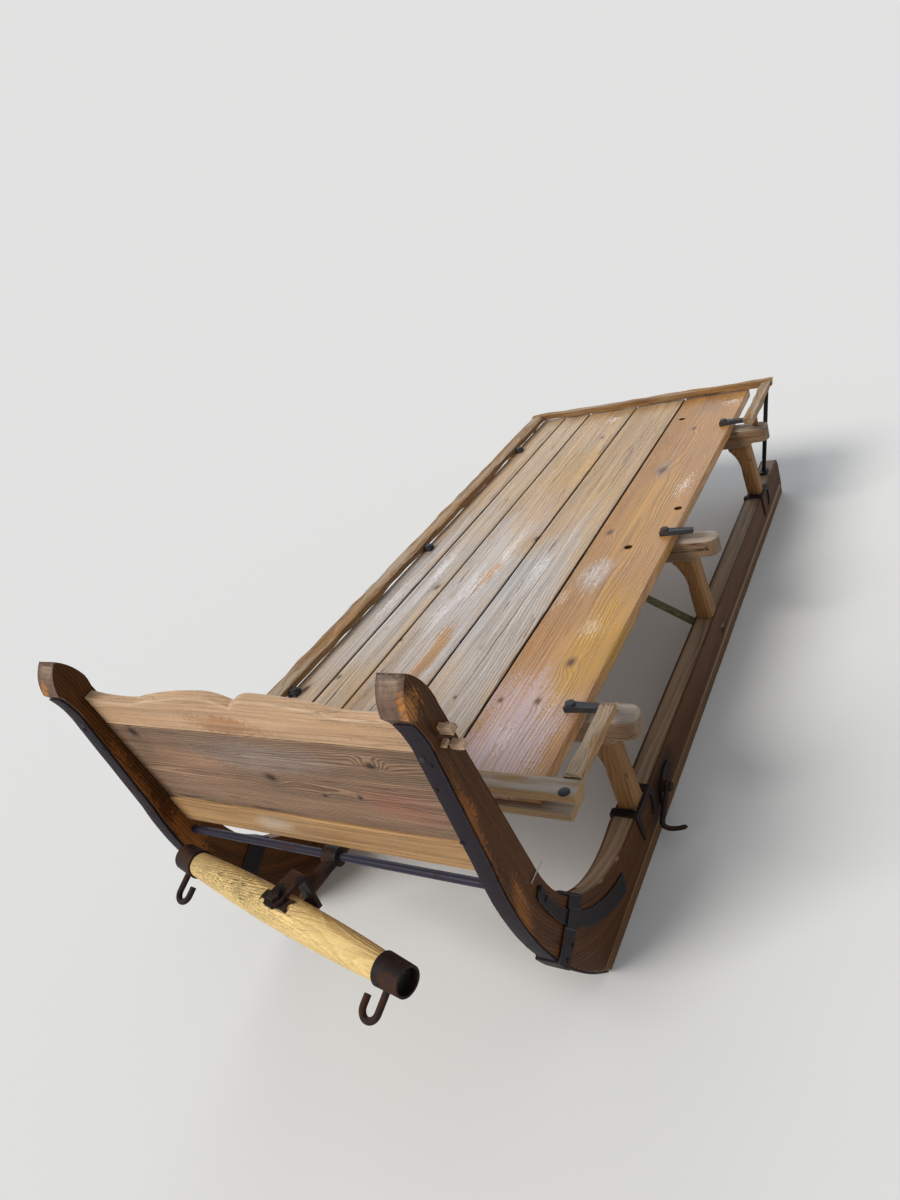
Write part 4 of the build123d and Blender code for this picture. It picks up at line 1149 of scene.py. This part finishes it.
def rough_block(way, middle, size, lean, roughness):
    """One offcut on the outside of a horn, as a mesh of its own."""
    reach, depth, height = size
    block = bmesh.new()
    bmesh.ops.create_cube(block, size=1.0)
    stretch = Matrix.Diagonal((reach + sunk, depth, height, 1.0))
    place = Matrix.Translation((way * (inside_horn + reach / 2), *middle))
    block.transform(place @ Matrix.Rotation(radians(lean), 4, "X") @ stretch)
    wear_arrises(block, width=min(depth, height) * 0.16)
    for axis in range(3):
        slice_across(block, axis, step=0.0025)
    wave_faces(block, roughness, length=0.008, seed=round(middle[1] * 10000))
    mesh = bpy.data.meshes.new("block")
    block.to_mesh(mesh)
    block.free()
    return mesh


for side, way in (("left", 1), ("right", -1)):
    shape = bmesh.new()
    for row in blocks:
        mesh = rough_block(way, *row)
        shape.from_mesh(mesh)
        bpy.data.meshes.remove(mesh)
    mark_ends(shape, Vector((1, 0, 0)), least=0.7)
    node = f"board_wedge_{side}"
    middle = centre_of(node)[0]
    order = plain_grain("X", "Z")
    finish_piece(shape, f"tenon_blocks_{side}", node, lambda place: order(place - middle))
print("tenon blocks set", 2 * len(blocks))

# %% [markdown]
# ## Drag claws
#
# A claw is a round bar forged into an eye at one end and turned outwards at the other. Straight
# lengths joined at angles would look like bent wire, so rings of points are set along a smoothed
# line, thinner towards the tip, and each is bridged to the one before. The eye is a section spun
# round the stud.

# %% Bars along a line


def smooth_line(stops, rounds=3):
    """Cuts the corners of a line of (place, radius) stops again and again."""
    for _ in range(rounds):
        cut = [stops[0]]
        for (a, thin), (b, thick) in zip(stops, stops[1:]):
            cut.append((a.lerp(b, 0.25), thin * 0.75 + thick * 0.25))
            cut.append((a.lerp(b, 0.75), thin * 0.25 + thick * 0.75))
        stops = cut + [stops[-1]]
    return stops


def forge_bar(shape, stops, sides=14):
    """A round bar along the stops, closed at both ends."""
    ring = None
    for i, (place, radius) in enumerate(stops):
        before, after = stops[max(i - 1, 0)][0], stops[min(i + 1, len(stops) - 1)][0]
        turn = (after - before).to_track_quat("Z", "X").to_matrix().to_4x4()
        new = bmesh.ops.create_circle(
            shape, segments=sides, radius=radius, matrix=Matrix.Translation(place) @ turn,
            cap_ends=False,
        )["verts"]
        edges = list({e for v in new for e in v.link_edges})
        if ring:
            bmesh.ops.bridge_loops(shape, edges=ring + edges)
        else:
            first = edges
        ring = edges
    bmesh.ops.holes_fill(shape, edges=first + ring, sides=sides)


print("bars ready")

# %% Drag claws
stud_y, stud_z = -0.385, 0.082
claw_stops = (
    ((0.4146, -0.394, 0.078), 0.006), ((0.4146, -0.412, 0.0695), 0.0064),
    ((0.4146, -0.44, 0.057), 0.0064), ((0.415, -0.462, 0.047), 0.0062),
    ((0.424, -0.466, 0.04), 0.006), ((0.438, -0.464, 0.0375), 0.0056),
    ((0.452, -0.46, 0.0375), 0.005), ((0.4625, -0.456, 0.0395), 0.0056),
    ((0.465, -0.455, 0.0405), 0.004),
)
eye_section = (
    (0.4105, 0.0068), (0.4105, 0.0125), (0.4125, 0.0138),
    (0.417, 0.0138), (0.4188, 0.0125), (0.4188, 0.0068),
)
for side, way in (("left", 1), ("right", -1)):
    shape = bmesh.new()
    line = [(Vector(place) * Vector((way, 1, 1)), radius) for place, radius in claw_stops]
    forge_bar(shape, smooth_line(line))
    corners = [shape.verts.new((way * x, stud_y, stud_z + out)) for x, out in eye_section]
    section = shape.faces.new(corners)
    bmesh.ops.spin(
        shape, geom=[section, *section.edges, *corners], cent=(0, stud_y, stud_z),
        axis=(1, 0, 0), dvec=(0, 0, 0), angle=2 * pi, steps=32, use_merge=True,
        use_duplicate=False,
    )
    bmesh.ops.remove_doubles(shape, verts=shape.verts, dist=1e-6)
    bmesh.ops.recalc_face_normals(shape, faces=shape.faces)
    wave_faces(shape, amount=0.0004, length=0.02, seed=7)
    finish_piece(shape, f"claw_{side}_forged", f"claw_{side}", lambda place: place)
print("claws forged")

# %% [markdown]
# ## The draught rod
#
# The CAD rod's facets show as stripes on dark iron. Smoothing its normals would help, but its long
# triangles still shade unevenly, so the rod is turned again here with thirty-two sides.

# %% Draught rod
rod_middle, rod_size = centre_of("draught_rod")
rod_radius = min(rod_size.y, rod_size.z) / 2
rod = bmesh.new()
lying = Matrix.Translation(rod_middle) @ Matrix.Rotation(pi / 2, 4, "Y")
bmesh.ops.create_cone(
    rod, cap_ends=True, segments=32, radius1=rod_radius, radius2=rod_radius, depth=rod_size.x,
    matrix=lying,
)
wear_arrises(rod, width=0.001, least_angle=60.0)
slice_across(rod, axis=0, step=0.012)
wave_faces(rod, amount=0.0003, length=0.06, seed=5)
finish_piece(rod, "draught_rod_forged", "draught_rod", lambda place: place)
print("rod", rod_size)

# %% [markdown]
# ## Nails and bolt heads
#
# Small heads break up the straps and show how they are held. Each is placed where the photograph
# shows it: a ray from the camera through that pixel finds the iron, and a low dome is set there on
# the surface, facing as it faces. The right horn gets the same heads, mirrored. Places measured by
# hand would do as well, but a ray keeps a head on its iron when the sizes change.

# %% A place and its head
photo_wide, photo_high = 900, 1200


def seen_at(across, down, node):
    """The place on a CAD node that the camera sees at a pixel of the photograph."""
    span = camera.data.sensor_height / 2 / camera.data.lens / (photo_high / 2)
    side, rise = across - photo_wide / 2, photo_high / 2 - down
    aim = ahead + right * side * span + up * rise * span
    mesh = parts[node].data
    corners = [v.co for v in mesh.vertices]
    tree = BVHTree.FromPolygons(corners, [p.vertices for p in mesh.polygons])
    return tree.ray_cast(eye, aim.normalized())[:2]


def add_dome(shape, place, normal, radius, height):
    """A low round head on a surface, facing as it faces."""
    turn = normal.to_track_quat("Z", "Y").to_matrix().to_4x4()
    size = Matrix.Diagonal((radius, radius, height, 1.0))
    stand = Matrix.Translation(place) @ turn @ size
    bmesh.ops.create_uvsphere(shape, u_segments=16, v_segments=10, radius=1.0, matrix=stand)


def finish_heads(shape, name, slot, finish=None):
    """Makes one piece of all the heads, in the finish given, or else in the slot's finish."""
    for face in shape.faces:
        face.smooth = True
    piece = make_object(shape, name, finish or slot)
    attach(piece, body_of["runner_left"])


print("the front board's bolt is at", seen_at(564, 792, "front_rail_upper")[0])

# %% Nails and bolts
other_side = Vector((-1, 1, 1))
# each piece's slot, the iron its heads sit on, their radius and height, and their pixels
heads = {
    "band_nails": (
        "band_iron", "horn_band_left", 0.0042, 0.0016, ((430, 766), (462, 843), (436, 790))
    ),
    "bright_nails": ("clip_iron", "horn_band_left", 0.0055, 0.0018, ((422.5, 760),)),
    "plate_bolts": ("strap_iron", "bend_plate_left", 0.0065, 0.0028, ((541, 889), (547, 899))),
    "strap_nails": ("strap_iron", "bend_strap_left", 0.005, 0.0024, ((568, 960), (573, 945))),
}
for name, (slot, node, radius, height, pixels) in heads.items():
    shape = bmesh.new()
    for across, down in pixels:
        place, normal = seen_at(across, down, node)
        if place:
            add_dome(shape, place, normal, radius, height)
            add_dome(shape, place * other_side, normal * other_side, radius, height)
    print(name, len(shape.verts), "points")
    finish_heads(shape, name, slot)
bolt = bmesh.new()
add_dome(bolt, *seen_at(564, 792, "front_rail_upper"), radius=0.011, height=0.003)
finish_heads(bolt, "front_board_bolt", "clip_iron")
print("heads set", len(heads) + 1, "pieces")

# %% [markdown]
# ## A stray nail
#
# A bent bright nail sticks to the outside of the left horn, beside the link. It is a bar too, only
# thin, so the claw's helpers make it.

# %% Stray nail
stray = bmesh.new()
nail_line = [
    (Vector((0.4004, -0.927, 0.3905)), 0.0011), (Vector((0.4022, -0.905, 0.3945)), 0.0011),
    (Vector((0.401, -0.884, 0.392)), 0.0008),
]
forge_bar(stray, smooth_line(nail_line), sides=8)
bmesh.ops.recalc_face_normals(stray, faces=stray.faces)
finish_heads(stray, "stray_nail", "clip_iron", "bright_iron")
print("stray nail", nail_line[0][0], nail_line[-1][0])

# %% [markdown] ## The size stays  Waves sink and bevels cut, so the dressed sled lies inside
# the CAD model's box.
